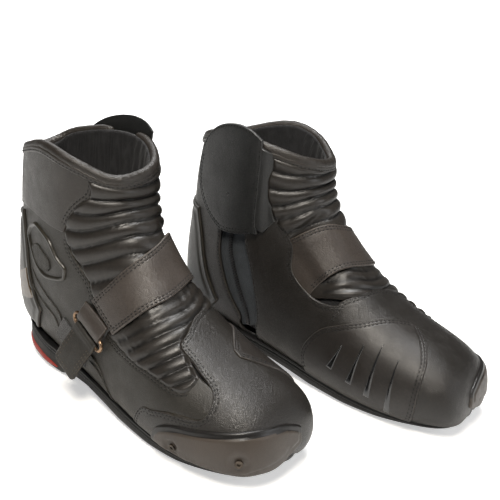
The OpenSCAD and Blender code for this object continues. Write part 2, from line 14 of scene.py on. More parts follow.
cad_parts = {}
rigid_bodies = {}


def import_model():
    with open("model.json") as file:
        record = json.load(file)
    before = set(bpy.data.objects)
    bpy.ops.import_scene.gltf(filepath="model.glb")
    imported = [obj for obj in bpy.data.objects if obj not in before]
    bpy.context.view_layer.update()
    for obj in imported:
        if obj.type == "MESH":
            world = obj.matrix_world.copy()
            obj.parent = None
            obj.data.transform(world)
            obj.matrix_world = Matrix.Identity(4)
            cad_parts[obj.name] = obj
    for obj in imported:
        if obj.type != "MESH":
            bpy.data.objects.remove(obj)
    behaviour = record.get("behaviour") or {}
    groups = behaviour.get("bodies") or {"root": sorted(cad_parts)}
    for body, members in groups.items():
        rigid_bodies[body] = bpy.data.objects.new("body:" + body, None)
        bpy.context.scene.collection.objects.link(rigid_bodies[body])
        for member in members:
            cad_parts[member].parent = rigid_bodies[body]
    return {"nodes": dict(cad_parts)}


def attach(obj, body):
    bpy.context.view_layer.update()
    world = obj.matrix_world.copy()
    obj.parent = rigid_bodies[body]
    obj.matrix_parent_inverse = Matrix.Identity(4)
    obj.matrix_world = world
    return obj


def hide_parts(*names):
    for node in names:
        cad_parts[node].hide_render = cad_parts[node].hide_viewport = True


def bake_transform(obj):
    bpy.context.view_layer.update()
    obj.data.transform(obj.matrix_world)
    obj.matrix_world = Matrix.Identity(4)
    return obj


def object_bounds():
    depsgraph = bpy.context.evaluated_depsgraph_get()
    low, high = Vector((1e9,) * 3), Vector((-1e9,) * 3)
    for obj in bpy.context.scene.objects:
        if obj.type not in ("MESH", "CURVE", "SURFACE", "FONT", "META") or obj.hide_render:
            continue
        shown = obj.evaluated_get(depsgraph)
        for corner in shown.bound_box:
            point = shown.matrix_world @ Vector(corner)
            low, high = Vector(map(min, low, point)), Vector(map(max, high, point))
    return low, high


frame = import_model()
CAD_BOX = [[float(x) for x in corner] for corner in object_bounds()]
MM = 0.001
SIDES = ("right", "left")

# ------------------------------------------------------------------ the last
LAST = np.array([
    [303, 19, 300, 47, 25, 27], [297, 15, 288, 61, 42, 46], [272, 12, 262, 70, 51, 55],
    [239, 11, 230, 80, 55, 59], [204, 12, 201, 95, 55, 59], [164, 15, 177, 113, 49, 53],
    [122, 20, 158, 133, 43, 46], [76, 23, 144, 152, 41, 41], [29, 25, 137, 165, 42, 42],
    [-8, 38, 132, 176, 43, 43], [-10, 83, 130, 185, 43, 43], [-6, 123, 129, 200, 43, 44],
    [-5, 163, 129, 215, 44, 45], [2, 203, 130, 229, 46, 48], [9, 233, 133, 239, 47, 49]], float)
COLLAR = np.array([12.2, 12.7, 13.7, 14.3, 14.3, 14.1, 14.0, 14.0, 14.1, 14.25, 13.5, 12.3])
REST_F = 25
RIM = 8.5


def ease(x):
    q = np.clip(x, 0, 1)
    return q * q * (3 - 2 * q)


def mix(a, b, k):
    return a + (b - a) * k


def section(i):
    s, k, toe = LAST[i], ease((i - 5.5) / 4.5), max(0, 1 - i / 3)
    corner = (0.07 * k, mix(0.97, 0.62, k) - 0.05 * toe)
    half = [(1, 0), (1, mix(0.43, 0.53, k) + 0.06 * toe),
            (mix(0.72, 0.77, k) + 0.08 * toe, mix(0.86, 0.98, k) + 0.06 * toe),
            (mix(0.28, 0.50, k) + 0.12 * toe, 1), corner, (0, corner[1] / 2), (0, 0)]
    out = []
    for j in range(12):
        p = half[j if j <= 6 else 12 - j]
        w = p[1] * s[4] if j <= 6 else -p[1] * s[5]
        out.append((w + 5 * toe + 0.5 * (1 - k), REST_F - mix(s[0], s[2], p[0]), mix(s[1], s[3], p[0])))
    return out


SECTIONS = np.array([section(i) for i in range(len(LAST))])
TIP = SECTIONS[0].mean(axis=0)
NET = np.concatenate([[2 * TIP - SECTIONS[0]], [np.tile(TIP, (12, 1))], SECTIONS,
                      [2 * SECTIONS[-1] - SECTIONS[-2]]])


def weights(t):
    return np.stack([(1 - t) ** 3, 3 * t**3 - 6 * t**2 + 4, -3 * t**3 + 3 * t**2 + 3 * t + 1, t**3], -1) / 6


def slopes(t):
    return np.stack([-(1 - t) ** 2, 3 * t * t - 4 * t, -3 * t * t + 2 * t + 1, t * t], -1) / 2


def last_at(uv):
    """Point, slope along u, slope along v and outward normal of the last at an array of (u, v)."""
    u, v = uv[..., 0], uv[..., 1]
    i = np.clip(np.floor(u), 0, len(LAST) - 1).astype(int)
    j = np.floor(v).astype(int)
    net = NET[(i[..., None] + np.arange(4))[..., :, None], ((j[..., None] + 23 + np.arange(4)) % 12)[..., None, :]]
    wu, wv, du, dv = weights(u - i), weights(v - j), slopes(u - i), slopes(v - j)
    pos = np.einsum("...a,...b,...abc->...c", wu, wv, net)
    along_u = np.einsum("...a,...b,...abc->...c", du, wv, net)
    along_v = np.einsum("...a,...b,...abc->...c", wu, dv, net)
    n = np.cross(along_v, along_u)
    return pos, along_u, along_v, n / np.maximum(np.linalg.norm(n, axis=-1, keepdims=True), 1e-9)


DROOP = 4.0


def raised(uv, h):
    """Points h mm above the leather's face. Near the sole the upper sags over the welt."""
    uv, h = np.asarray(uv, float), np.asarray(h, float)
    pos, _, _, n = last_at(uv)
    out = pos + h[..., None] * n
    around = np.abs((uv[..., 1] + 6) % 12 - 6)
    sag = DROOP * ease((around - 3.7) / 1.1) * ease((9.3 - uv[..., 0]) / 1.6) * ease(uv[..., 0] / 1.5) * (h > -3)
    return out - sag[..., None] * np.array([0, 0, 1.0])


def catmull(a, b, d, e, t):
    return 0.5 * (2 * b + (d - a) * t + (2 * a - 5 * b + 4 * d - e) * t**2 + (3 * b - a - 3 * d + e) * t**3)


def curve(points, s):
    """Smooth curve through the points at s from 0 to 1, as in the CAD."""
    c = np.asarray(points, float)
    n = len(c) - 1
    x = np.clip(np.asarray(s, float), 0, 1) * n
    i = np.minimum(np.floor(x).astype(int), n - 1)
    t = (x - i)[..., None]
    return catmull(c[np.maximum(i - 1, 0)], c[i], c[i + 1], c[np.minimum(i + 2, n)], t)


def collar_u(v):
    x = np.asarray(v, float) + 24
    i = np.floor(x).astype(int)
    return catmull(COLLAR[(i - 1) % 12], COLLAR[i % 12], COLLAR[(i + 1) % 12], COLLAR[(i + 2) % 12], x - i)


def seam_u(v, below=RIM + 0.6):
    v = np.asarray(v, float)
    u = collar_u(v)
    return u - below / np.linalg.norm(last_at(np.stack([u, v], -1))[1], axis=-1)


def seam(v0, v1, n, below=RIM + 0.6):
    v = np.linspace(v0, v1, n + 1)
    return np.stack([seam_u(v, below), v], -1)


def offset(uv, mm, toward):
    """The line uv moved sideways by mm along the leather, to the side where the point (u, v) toward lies."""
    uv = np.asarray(uv, float)
    pos, du, dv, n = last_at(uv)
    along = np.gradient(pos, axis=0)
    side = np.cross(n, along)
    side /= np.maximum(np.linalg.norm(side, axis=-1, keepdims=True), 1e-9)
    k = len(uv) // 2
    if np.dot(side[k], last_at(np.array(toward, float))[0] - pos[k]) < 0:
        side = -side
    jac = np.stack([du, dv], -1)
    step = np.einsum("...ij,...j->...i", np.linalg.pinv(jac), side) * mm
    return uv + step


def length_of(points):
    return np.concatenate([[0], np.cumsum(np.linalg.norm(np.diff(points, axis=0), axis=1))])


def even(uv, count):
    """The line uv with count points at even distances along the leather."""
    run = length_of(last_at(uv)[0])
    t = np.linspace(0, run[-1], count)
    return np.stack([np.interp(t, run, uv[:, 0]), np.interp(t, run, uv[:, 1])], -1)


# ------------------------------------------------------------------ grids
FINE = np.array([0, 0.12, 0.35, 0.7, 1.15, 1.7, 2.3, 2.9, 3.6, 4.4, 5.0, 5.6, 6.4])


def spread(mm, cell):
    """Steps from 0 to 1 over a length, close together near both ends."""
    if mm < 18:
        return 0.5 - 0.5 * np.cos(np.pi * np.linspace(0, 1, max(8, int(mm / 0.9))))
    inner = np.linspace(7.4, mm - 7.4, max(2, int((mm - 14.8) / cell)))
    return np.concatenate([FINE, inner, mm - FINE[::-1]]) / mm


def mean_length(grid, axis):
    p = last_at(grid)[0]
    return np.linalg.norm(np.diff(p, axis=axis), axis=-1).sum(axis=axis).mean()


def filled(bottom, top, left, right):
    """Coons patch: bottom and top run with s, left and right run with t."""
    def at(s, t):
        p, q, a, b = curve(bottom, s), curve(top, s), curve(left, t), curve(right, t)
        s, t = s[:, None, None], t[None, :, None]
        corners = mix(mix(p[:1, None], p[-1:, None], s), mix(q[:1, None], q[-1:, None], s), t)
        return mix(p[:, None], q[:, None], t) + mix(a[None], b[None], s) - corners
    return at


def ruled(a, b):
    def at(s, t):
        return mix(curve(a, s)[:, None], curve(b, s)[:, None], t[None, :, None])
    return at


def polar_ruled(a, b):
    """Ruled in the plane where (u, v) is polar, so that edges may pass the toe tip."""
    def plane(e):
        e = np.asarray(e, float)
        w = np.radians(30 * e[:, 1])
        return np.stack([e[:, 0] * np.cos(w), e[:, 0] * np.sin(w)], -1)

    def at(s, t):
        g = mix(curve(plane(a), s)[:, None], curve(plane(b), s)[:, None], t[None, :, None])
        w = np.degrees(np.arctan2(g[..., 1], g[..., 0])) / 30
        w = np.where(w > 6, w - 12, w)
        return np.stack([np.hypot(g[..., 0], g[..., 1]), w], -1)
    return at


def dense(at, cell):
    probe = at(np.linspace(0, 1, 13), np.linspace(0, 1, 13))
    return at(spread(mean_length(probe, 0), cell), spread(mean_length(probe, 1), cell))


def nearest(points, targets):
    tree = kdtree.KDTree(len(targets))
    for k, p in enumerate(targets):
        tree.insert(p, k)
    tree.balance()
    return np.array([tree.find(p)[2] for p in points])


def ripple(points, size, seed):
    return np.array([noise.noise(Vector(p / size + seed)) for p in points])


# ------------------------------------------------------------------ objects
def place_left(p):
    a = math.radians(5)
    q = p * np.array([-1, 1, 1])
    x = q[:, 0] * math.cos(a) - q[:, 1] * math.sin(a)
    y = q[:, 0] * math.sin(a) + q[:, 1] * math.cos(a)
    return np.stack([x + 152.6, y - 70.5, q[:, 2]], -1)


def add_mesh(name, side, verts, faces, material, body, node=(), attrs=None, flat=False):
    """One piece of one boot. verts are the right boot's, in mm."""
    verts = np.asarray(verts, float)
    if side == "left":
        verts = place_left(verts)
    label = f"{side}_{name}_look" if name in node else f"{side}_{name}"
    me = bpy.data.meshes.new(label)
    faces = [tuple(int(k) for k in f) for f in faces]
    me.from_pydata((verts * MM).tolist(), [], [f[::-1] for f in faces] if side == "left" else faces)
    me.polygons.foreach_set("use_smooth", [not flat] * len(me.polygons))
    for key, values in (attrs or {}).items():
        a = me.attributes.new(key, "FLOAT", "POINT")
        a.data.foreach_set("value", np.asarray(values, np.float32))
    me.validate()
    me.materials.append(material)
    ob = bpy.data.objects.new(label, me)
    bpy.context.scene.collection.objects.link(ob)
    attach(ob, f"{side}_{body}")
    if node:
        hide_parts(*[f"{side}_{n}" for n in node])
    return ob


def grid_faces(m, n, base=0, flip=False):
    i, j = np.meshgrid(np.arange(m - 1), np.arange(n - 1), indexing="ij")
    a = (i * n + j).ravel() + base
    f = np.stack([a, a + 1, a + n + 1, a + n], -1)
    return f[:, ::-1] if flip else f


def close_grid(outer, inner):
    """Closed skin between two grids of points of the same size. Its faces look inwards: the choice of flip is the wrong
    way round.
    """
    m, n = outer.shape[:2]
    count = m * n
    mid = outer[m // 2, n // 2]
    turn = np.cross(outer[m // 2 + 1, n // 2] - mid, outer[m // 2, n // 2 + 1] - mid)
    flip = np.dot(turn, mid - inner[m // 2, n // 2]) < 0
    rim = np.concatenate([np.arange(n), np.arange(1, m) * n + n - 1, (m - 1) * n + np.arange(n - 2, -1, -1),
                          np.arange(m - 2, 0, -1) * n])
    nxt = np.roll(rim, -1)
    wall = np.stack([rim, nxt, nxt + count, rim + count], -1)
    top, low = grid_faces(m, n, 0, True), grid_faces(m, n, count, False)
    faces = np.concatenate([top, low, wall[:, ::1]])
    if not flip:
        faces = faces[:, ::-1]
    return np.concatenate([outer.reshape(-1, 3), inner.reshape(-1, 3)]), faces


def loft(loops):
    """Closed skin over a row of closed loops (rows, points, 3), capped at both ends."""
    m, k = loops.shape[:2]
    verts = loops.reshape(-1, 3)
    i, j = np.meshgrid(np.arange(m - 1), np.arange(k), indexing="ij")
    j2 = (j + 1) % k
    faces = np.stack([i * k + j, i * k + j2, (i + 1) * k + j2, (i + 1) * k + j], -1).reshape(-1, 4).tolist()
    faces += [list(range(k - 1, -1, -1)), [(m - 1) * k + q for q in range(k)]]
    mid = loops[m // 2]
    a, b = mid[1] - mid[0], loops[m // 2 + 1][0] - mid[0]
    if np.dot(np.cross(a, b), mid[0] - mid.mean(axis=0)) < 0:
        faces = [f[::-1] for f in faces]
    return verts, faces


class Panel:
    """A leather piece laid over the last: a grid of (u, v), its edges rounded down to the piece below it."""

    def __init__(self, at, cell=2.0, top=0.0, low=-1.6, thick=1.0, radius=1.3):
        self.at, self.top, self.low, self.thick, self.radius = at, top, low, thick, radius
        self.grid = dense(at, cell)
        self.rows = []
        self.centre = self.grid[self.grid.shape[0] // 2, self.grid.shape[1] // 2]
        self.extra = lambda uv, d: 0.0

    def edge(self, which, a=0.0, b=1.0, count=400):
        """A border line of the piece, from share a to share b of its run."""
        line = np.linspace(0, 1, count)
        s, t = {"bottom": (line, [0.0]), "top": (line, [1.0]), "left": ([0.0], line), "right": ([1.0], line)}[which]
        uv = self.at(np.asarray(s, float), np.asarray(t, float)).reshape(-1, 2)
        return even(uv, count)[int(a * (count - 1)):int(b * (count - 1)) + 1]

    def stitch(self, which, *distances, a=0.0, b=1.0):
        for d in distances:
            self.rows.append(offset(self.edge(which, a, b), d, self.centre))
        return self

    def heights(self):
        g = self.grid
        pos = last_at(g)[0].reshape(-1, 3)
        border = np.concatenate([self.edge(w) for w in ("bottom", "top", "left", "right")])
        d = nearest(pos, last_at(border)[0]).reshape(g.shape[:2])
        seam_d = np.full(d.shape, 9.0)
        if self.rows:
            lines = np.concatenate([even(r, max(12, int(length_of(last_at(r)[0])[-1] / 0.8))) for r in self.rows])
            seam_d = nearest(pos, last_at(lines)[0]).reshape(d.shape)
        fall = np.sqrt(np.maximum(0, 1 - (1 - np.clip(d / self.radius, 0, 1)) ** 2))
        wave = ripple(pos, 26.0, 3.1).reshape(d.shape) * 0.35 * ease(d / 12)
        h = self.low + (self.top - self.low) * fall + self.extra(g, d) + wave
        h = h - 0.34 * np.exp(-((seam_d / 0.7) ** 2)) * ease(d / 1.2)
        return h, d, seam_d

    def build(self, name, material, body="boot", node=(), slot="leather"):
        h, d, seam_d = self.heights()
        outer = raised(self.grid, h)
        inner = raised(self.grid, np.minimum(self.low - self.thick, h - self.thick))
        verts, faces = close_grid(outer, inner)
        two = lambda a: np.concatenate([a.ravel(), np.full(a.size, 9.0)])
        attrs = {"edge": two(d), "seam": two(seam_d)}
        made = []
        for side in SIDES:
            made.append(add_mesh(name, side, verts, faces, material, body, node, attrs))
        if self.rows:
            h_at = self.top + float(np.mean(self.extra(self.grid, d)) * 0)
            dashes(f"{name}_stitches", [raised(r, self.row_height(r)) for r in self.rows],
                   [last_at(r)[3] for r in self.rows], body)
        return made

    def row_height(self, row):
        """Height of the finished surface along a stitch row."""
        x = self.extra(row, np.full(len(row), 3.0))
        return self.top - 0.25 + (x if np.ndim(x) else np.full(len(row), float(x)))


THREAD = {}


def dashes(name, lines, normals, body, pitch=3.7, long=2.3, thick=0.6, material=None):
    """Sewn stitches along lines of points: short lengths of thread, each sunk at both ends."""
    ring, along = 5, np.array([-1, -0.72, 0.0, 0.72, 1.0])
    size = np.array([0.25, 0.8, 1.0, 0.8, 0.25])
    drop = np.array([-0.5, -0.16, 0.12, -0.16, -0.5])
    verts, faces = [], []
    angle = 2 * np.pi * np.arange(ring) / ring
    for line, nrm in zip(lines, normals):
        run = length_of(line)
        count = int(run[-1] / pitch)
        if count < 1:
            continue
        at = (np.arange(count) + 0.5) * run[-1] / count
        c = np.stack([np.interp(at, run, line[:, k]) for k in range(3)], -1)
        f = np.stack([np.interp(at + 0.6, run, line[:, k]) - np.interp(at - 0.6, run, line[:, k]) for k in range(3)], -1)
        n = np.stack([np.interp(at, run, nrm[:, k]) for k in range(3)], -1)
        f /= np.maximum(np.linalg.norm(f, axis=1, keepdims=True), 1e-9)
        b = np.cross(n, f)
        for p, fx, nx, bx in zip(c, f, n, b):
            base = len(verts)
            for a, w, dz in zip(along, size, drop):
                q = p + fx * a * long / 2 + nx * dz * thick
                for g in angle:
                    verts.append(q + thick * w * (math.cos(g) * bx + math.sin(g) * 0.8 * nx))
            for r in range(len(along) - 1):
                for k in range(ring):
                    k2 = (k + 1) % ring
                    faces.append((base + r * ring + k, base + r * ring + k2,
                                  base + (r + 1) * ring + k2, base + (r + 1) * ring + k))
            faces.append(tuple(base + k for k in range(ring - 1, -1, -1)))
            faces.append(tuple(base + (len(along) - 1) * ring + k for k in range(ring)))
    if not verts:
        return
    for side in SIDES:
        add_mesh(name, side, verts, faces, material or THREAD["dark"], body, ())


# ------------------------------------------------------------------ materials
def srgb(r, g, b):
    f = lambda c: c / 12.92 if c <= 0.04045 else ((c + 0.055) / 1.055) ** 2.4
    return (f(r / 255), f(g / 255), f(b / 255), 1)


class Nodes:
    """Short names for building a material's node tree."""

    def __init__(self, name):
        self.mat = bpy.data.materials.new(name)
        self.mat.use_nodes = True
        self.tree = self.mat.node_tree
        self.bsdf = self.tree.nodes["Principled BSDF"]
        self.where = self.add("ShaderNodeTexCoord").outputs["Object"]

    def add(self, kind, **values):
        n = self.tree.nodes.new(kind)
        for k, v in values.items():
            if isinstance(k, str) and hasattr(n, k):
                setattr(n, k, v)
        return n

    def put(self, socket, value):
        if isinstance(value, bpy.types.NodeSocket):
            self.tree.links.new(value, socket)
        else:
            socket.default_value = value

    def noise(self, mm, detail=3.0, rough=0.55, stretch=(1, 1, 1)):
        m = self.add("ShaderNodeMapping")
        self.put(m.inputs["Vector"], self.where)
        self.put(m.inputs["Scale"], tuple(1000 / mm * s for s in stretch))
        n = self.add("ShaderNodeTexNoise")
        self.put(n.inputs["Vector"], m.outputs[0])
        self.put(n.inputs["Scale"], 1.0)
        self.put(n.inputs["Detail"], detail)
        self.put(n.inputs["Roughness"], rough)
        return n.outputs["Fac"]

    def cells(self, mm, edges=True):
        n = self.add("ShaderNodeTexVoronoi", feature="DISTANCE_TO_EDGE" if edges else "F1")
        self.put(n.inputs["Vector"], self.where)
        self.put(n.inputs["Scale"], 1000 / mm)
        return n.outputs["Distance"]

    def wave(self, mm, axis, distortion=0.0):
        n = self.add("ShaderNodeTexWave", bands_direction=axis)
        self.put(n.inputs["Vector"], self.where)
        self.put(n.inputs["Scale"], 314 / mm)
        self.put(n.inputs["Distortion"], distortion)
        return n.outputs["Fac"]

    def attr(self, name):
        return self.add("ShaderNodeAttribute", attribute_name=name).outputs["Fac"]

    def ramp(self, value, low, high, a=0.0, b=1.0):
        n = self.add("ShaderNodeMapRange")
        for k, v in zip(("Value", "From Min", "From Max", "To Min", "To Max"), (value, low, high, a, b)):
            self.put(n.inputs[k], v)
        return n.outputs[0]

    def calc(self, op, a, b=0.0):
        n = self.add("ShaderNodeMath", operation=op)
        self.put(n.inputs[0], a)
        self.put(n.inputs[1], b)
        return n.outputs[0]

    def blend(self, fac, a, b, mode="MIX"):
        n = self.add("ShaderNodeMix", data_type="RGBA", blend_type=mode)
        self.put(n.inputs[0], fac)
        self.put(n.inputs[6], a)
        self.put(n.inputs[7], b)
        return n.outputs[2]

    def finish(self, color, rough, height=None, depth=0.1, metallic=0.0, specular=0.5, coat=0.0, sheen=0.0):
        b = self.bsdf
        self.put(b.inputs["Base Color"], color)
        self.put(b.inputs["Roughness"], rough)
        self.put(b.inputs["Metallic"], metallic)
        self.put(b.inputs["Specular IOR Level"], specular)
        self.put(b.inputs["Coat Weight"], coat)
        self.put(b.inputs["Coat Roughness"], 0.25)
        self.put(b.inputs["Sheen Weight"], sheen)
        if height is not None:
            n = self.add("ShaderNodeBump")
            self.put(n.inputs["Strength"], 1.0)
            self.put(n.inputs["Distance"], depth * MM)
            self.put(n.inputs["Height"], height)
            self.put(b.inputs["Normal"], n.outputs[0])
        return self.mat


def leather(name, base, worn, rough=0.5, grain=1.1, depth=0.16, spec=0.5, patch=1.0, seam_shade=0.22):
    """Matt grained leather: cell grain, cloudy colour, paler folded edges, and painted shade darkening the stitch
    grooves and, for the bellows, the rib valleys.
    """
    k = Nodes(name)
    cloud = k.noise(34, 4)
    fine = k.noise(2.2, 5, 0.65)
    cell = k.ramp(k.cells(grain), 0.0, 0.28)
    color = k.blend(k.ramp(cloud, 0.3, 0.7), srgb(*[c * (1 - 0.16 * patch) for c in base]), srgb(*base))
    color = k.blend(k.ramp(fine, 0.42, 0.72, 0, 0.22 * patch), color, srgb(*worn))
    color = k.blend(k.ramp(cell, 0.0, 1.0, 0.30, 0.0), color, srgb(*[c * 0.45 for c in base]))
    rub = k.calc("MULTIPLY", k.ramp(k.attr("edge"), 0.15, 1.1, 1.0, 0.0), k.ramp(k.noise(5, 4), 0.35, 0.65, 0.05, 0.7))
    color = k.blend(rub, color, srgb(*worn))
    # Painted shade: darkens the leather along the stitch rows as the shadow in their grooves; a strong setting paints
    # the rib valleys of the bellows dark.
    seam_shade_mask = k.ramp(k.attr("seam"), 0.2, 1.1 + 2 * (seam_shade > 0.5), seam_shade, 0.0)
    color = k.blend(seam_shade_mask, color, srgb(*[c * 0.3 for c in base]))
    roughness = k.calc("ADD", k.ramp(k.noise(12, 4), 0.3, 0.7, rough - 0.07, rough + 0.09),
                       k.ramp(rub, 0, 1, 0, -0.08))
    height = k.calc("ADD", k.calc("MULTIPLY", cell, 0.6), k.calc("MULTIPLY", fine, 0.9))
    height = k.calc("ADD", height, k.calc("MULTIPLY", k.noise(14, 3), 1.8))
    return k.finish(color, roughness, height, depth, specular=spec)


def moulded(name, base, worn, rough=0.4, speck=0.9, depth=0.05, coat=0.0, spec=0.5):
    """Moulded plastic or rubber with a fine spark texture and scuffed edges."""
    k = Nodes(name)
    cloud, fine, scuff = k.noise(28, 4), k.noise(speck, 4, 0.7), k.noise(6, 6, 0.7, (1, 4, 1))
    color = k.blend(k.ramp(cloud, 0.3, 0.7), srgb(*[c * 0.86 for c in base]), srgb(*base))
    color = k.blend(k.ramp(fine, 0.5, 0.75, 0, 0.4), color, srgb(*worn))
    rub = k.calc("MULTIPLY", k.ramp(k.attr("edge"), 0.2, 1.2, 1.0, 0.0), k.ramp(scuff, 0.35, 0.65, 0.05, 0.5))
    color = k.blend(rub, color, srgb(*worn))
    roughness = k.calc("ADD", k.ramp(scuff, 0.35, 0.7, rough - 0.06, rough + 0.10), k.ramp(fine, 0.3, 0.7, 0, 0.06))
    height = k.calc("ADD", fine, k.calc("MULTIPLY", scuff, 0.4))
    return k.finish(color, roughness, height, depth, coat=coat, specular=spec)


def textile(name, base, worn, thread=0.9, rough=0.85, depth=0.25, sheen=0.3, axes=("X", "Z")):
    """Woven cloth: two crossing sets of threads with fuzz and uneven dye."""
    k = Nodes(name)
    a, b = k.wave(thread, axes[0], 0.6), k.wave(thread, axes[1], 0.6)
    weave = k.calc("MAXIMUM", a, b)
    cloud = k.noise(18, 4)
    color = k.blend(k.ramp(weave, 0.2, 0.95), srgb(*[c * 0.5 for c in base]), srgb(*base))
    color = k.blend(k.ramp(cloud, 0.45, 0.75, 0, 0.5), color, srgb(*worn))
    height = k.calc("ADD", weave, k.calc("MULTIPLY", k.noise(0.7, 4, 0.7), 0.7))
    return k.finish(color, k.ramp(k.noise(6, 3), 0.3, 0.7, rough - 0.08, rough + 0.08), height, depth, sheen=sheen)


def metal(name, base, worn, rough=0.3, depth=0.02):
    """Plated wire or cast metal: brushed, tarnished in patches, bright where rubbed."""
    k = Nodes(name)
    brushed, patch = k.noise(1.2, 5, 0.6, (1, 6, 1)), k.noise(7, 5, 0.6)
    color = k.blend(k.ramp(patch, 0.4, 0.65), srgb(*base), srgb(*worn))
    color = k.blend(k.ramp(brushed, 0.55, 0.8, 0, 0.4), color, srgb(*[min(255, c * 1.3) for c in base]))
    return k.finish(color, k.ramp(patch, 0.3, 0.7, rough - 0.06, rough + 0.14), brushed, depth, metallic=0.9)


LEATHER = leather("leather", (34, 31, 28), (62, 57, 51), 0.36)
UPPER = leather("upper_leather", (36, 33, 27), (64, 58, 49), 0.40, spec=0.45)
SOFT = leather("soft_leather", (40, 35, 30), (70, 63, 56), 0.35, 0.9, 0.12)
# Painted shade: this leather darkens strongly along its rows, which lie in the rib valleys, to paint the valleys dark.
RIBBED = leather("bellows_leather", (37, 33, 29), (72, 66, 59), 0.36, 0.9, 0.05, seam_shade=0.9)
STRAP_L = leather("strap_leather", (62, 55, 50), (96, 88, 80), 0.38, 1.0, 0.14)
TAB_L = leather("tab_leather", (32, 29, 23), (70, 62, 50), 0.48, 1.0, 0.16)
FLAP_L = leather("flap_leather", (32, 33, 33), (64, 64, 63), 0.34, 1.0, 0.14)
PULLER_L = leather("puller_leather", (26, 25, 24), (58, 56, 54), 0.5)
PAD = leather("pad_rubber", (38, 34, 31), (70, 64, 58), 0.40, 0.8, 0.07)
GROOVE = moulded("pad_groove_gloss", (10, 10, 11), (28, 28, 30), 0.12, coat=0.9, depth=0.02)
SLIDER = moulded("slider_plastic", (62, 54, 47), (88, 79, 70), 0.42, 0.7, 0.07)
SLIDER_BAND = moulded("slider_band", (17, 15, 14), (36, 33, 30), 0.32, 0.7, 0.04)
GUARD = moulded("guard_plastic", (29, 27, 22), (58, 53, 44), 0.34, 1.0, 0.05)
# Painted highlight: pale gold plastic for the strip that stands in for the heel guard's glint.
GLINT = moulded("guard_painted_glint", (66, 51, 30), (92, 74, 48), 0.32, 0.5, 0.03, coat=0.3)
VENT = moulded("vent_plastic", (33, 30, 23), (66, 60, 48), 0.30, 0.9, 0.05, coat=0.25)
MESH = textile("vent_mesh", (34, 31, 24), (52, 47, 38), 1.6, 0.6, 0.5, 0.1, ("Y", "Z"))
RUBBER = moulded("outsole_rubber", (19, 19, 19), (38, 37, 36), 0.55, 0.8, 0.08)
WELT = moulded("welt_rubber", (18, 18, 18), (42, 41, 40), 0.30, 1.2, 0.03, coat=0.2)
RED = moulded("red_wedge", (168, 52, 42), (196, 92, 78), 0.42, 0.9, 0.04)
LINING = textile("lining_textile", (26, 26, 28), (42, 42, 44), 1.1, 0.9, 0.3, 0.1)
FOOTBED = textile("footbed_textile", (50, 51, 54), (72, 73, 76), 1.4, 0.9, 0.3, axes=("X", "Y"))
TAPE = textile("zip_textile", (44, 50, 56), (60, 66, 72), 0.8, 0.8, 0.25, 0.1, ("Y", "Z"))
TEETH = moulded("zip_teeth", (26, 26, 28), (66, 66, 68), 0.35, 0.6, 0.02)
LOOP = textile("loop_textile", (24, 24, 26), (44, 44, 46), 0.7, 0.95, 0.5, 0.4, ("Y", "Z"))
ZIP_METAL = metal("zip_metal", (96, 96, 98), (60, 60, 62), 0.32)
RING_METAL = metal("ring_metal", (150, 124, 100), (92, 74, 60), 0.28)
SCREW = metal("screw_metal", (84, 76, 68), (46, 42, 38), 0.36)
STEEL = metal("shank_steel", (140, 142, 145), (110, 100, 90), 0.35)
BOARD = textile("board_fibre", (150, 128, 96), (120, 100, 74), 0.6, 0.9, 0.1, 0.0, ("X", "Y"))
STIFF = textile("stiffener_fibre", (140, 133, 114), (112, 106, 92), 0.8, 0.85, 0.1, 0.0)
THREAD["dark"] = textile("thread_dark", (9, 8, 7), (16, 14, 12), 0.5, 0.7, 0.05, 0.0)
THREAD["brown"] = textile("thread_brown", (78, 70, 60), (98, 88, 78), 0.5, 0.7, 0.05, 0.0)

for part, material in (("shank", STEEL), ("insole_board", BOARD), ("toe_puff", STIFF), ("heel_counter", STIFF),
                       ("slider_screws", SCREW), ("strap_ring", RING_METAL)):
    for side in SIDES:
        mesh = frame["nodes"][f"{side}_{part}"].data
        mesh.materials.clear()
        mesh.materials.append(material)

# ------------------------------------------------------------------ shared edges
LOBE = [[5.7, -4.5], [5.27, -3.21], [4.75, -2.82], [4.27, -2.6], [3.67, -2.42], [3.33, -2.24],
        [3.21, -1.94], [3.27, -1.57], [3.5, -1.35], [3.85, -1.25]]
SHIN_OUT = [[7.1, -2.48], [8, -2.24], [8.92, -2.13], [9.65, -2.15], [10.56, -2.23], [11.07, -2.2],
            [11.43, -1.95], [11.75, -1.6]]
SHIN_IN = [[7.1, 2.17], [7.8, 2.1], [8.35, 1.8], [9.17, 1.74], [10.44, 1.84], [11.39, 1.98],
           [12.11, 2.02], [12.75, 1.92]]
PANEL_LOW = [[10.9, -2.3], [11.55, -2.82], [12.11, -3.3], [12.48, -3.9], [12.6, -5], [12.6, -5.96]]
ZIP_FRONT = [[7.75, 3.75], [7.95, 3.3], [8.54, 2.9], [9.31, 2.66], [10.29, 2.58], [11.4, 2.58],
             [12.5, 2.6], [13.4, 2.6]]
ZIP_REAR = [[8.15, 4.1], [8.3, 3.72], [8.95, 3.42], [9.71, 3.24], [10.58, 3.22], [11.5, 3.22],
            [12.6, 3.24], [13.7, 3.26]]


def grown(line, mm, away):
    """A line moved mm away from the point (u, v) away, so that one piece can pass under another."""
    dense_line = curve(line, np.linspace(0, 1, 12))
    return offset(dense_line, -mm, away)


def ribs(phase, rise, pinch):
    """Height of padded ribs: phase(u, v) counts ribs, and they flatten near the border and under the strap's root."""
    def extra(uv, d):
        x = phase(uv) % 1.0
        bulge = np.sqrt(np.clip(1 - (2 * x - 1) ** 2, 0, 1))
        u, v = uv[..., 0], uv[..., 1]
        pressed = ease((v - 0.2) / 0.9) * ease((u - 6.0 - 0.1 * v) / 0.4) * ease((9.1 - u) / 0.5)
        return rise * bulge**0.9 * ease((d - 0.5) / pinch) * (1 - 0.92 * pressed)
    return extra


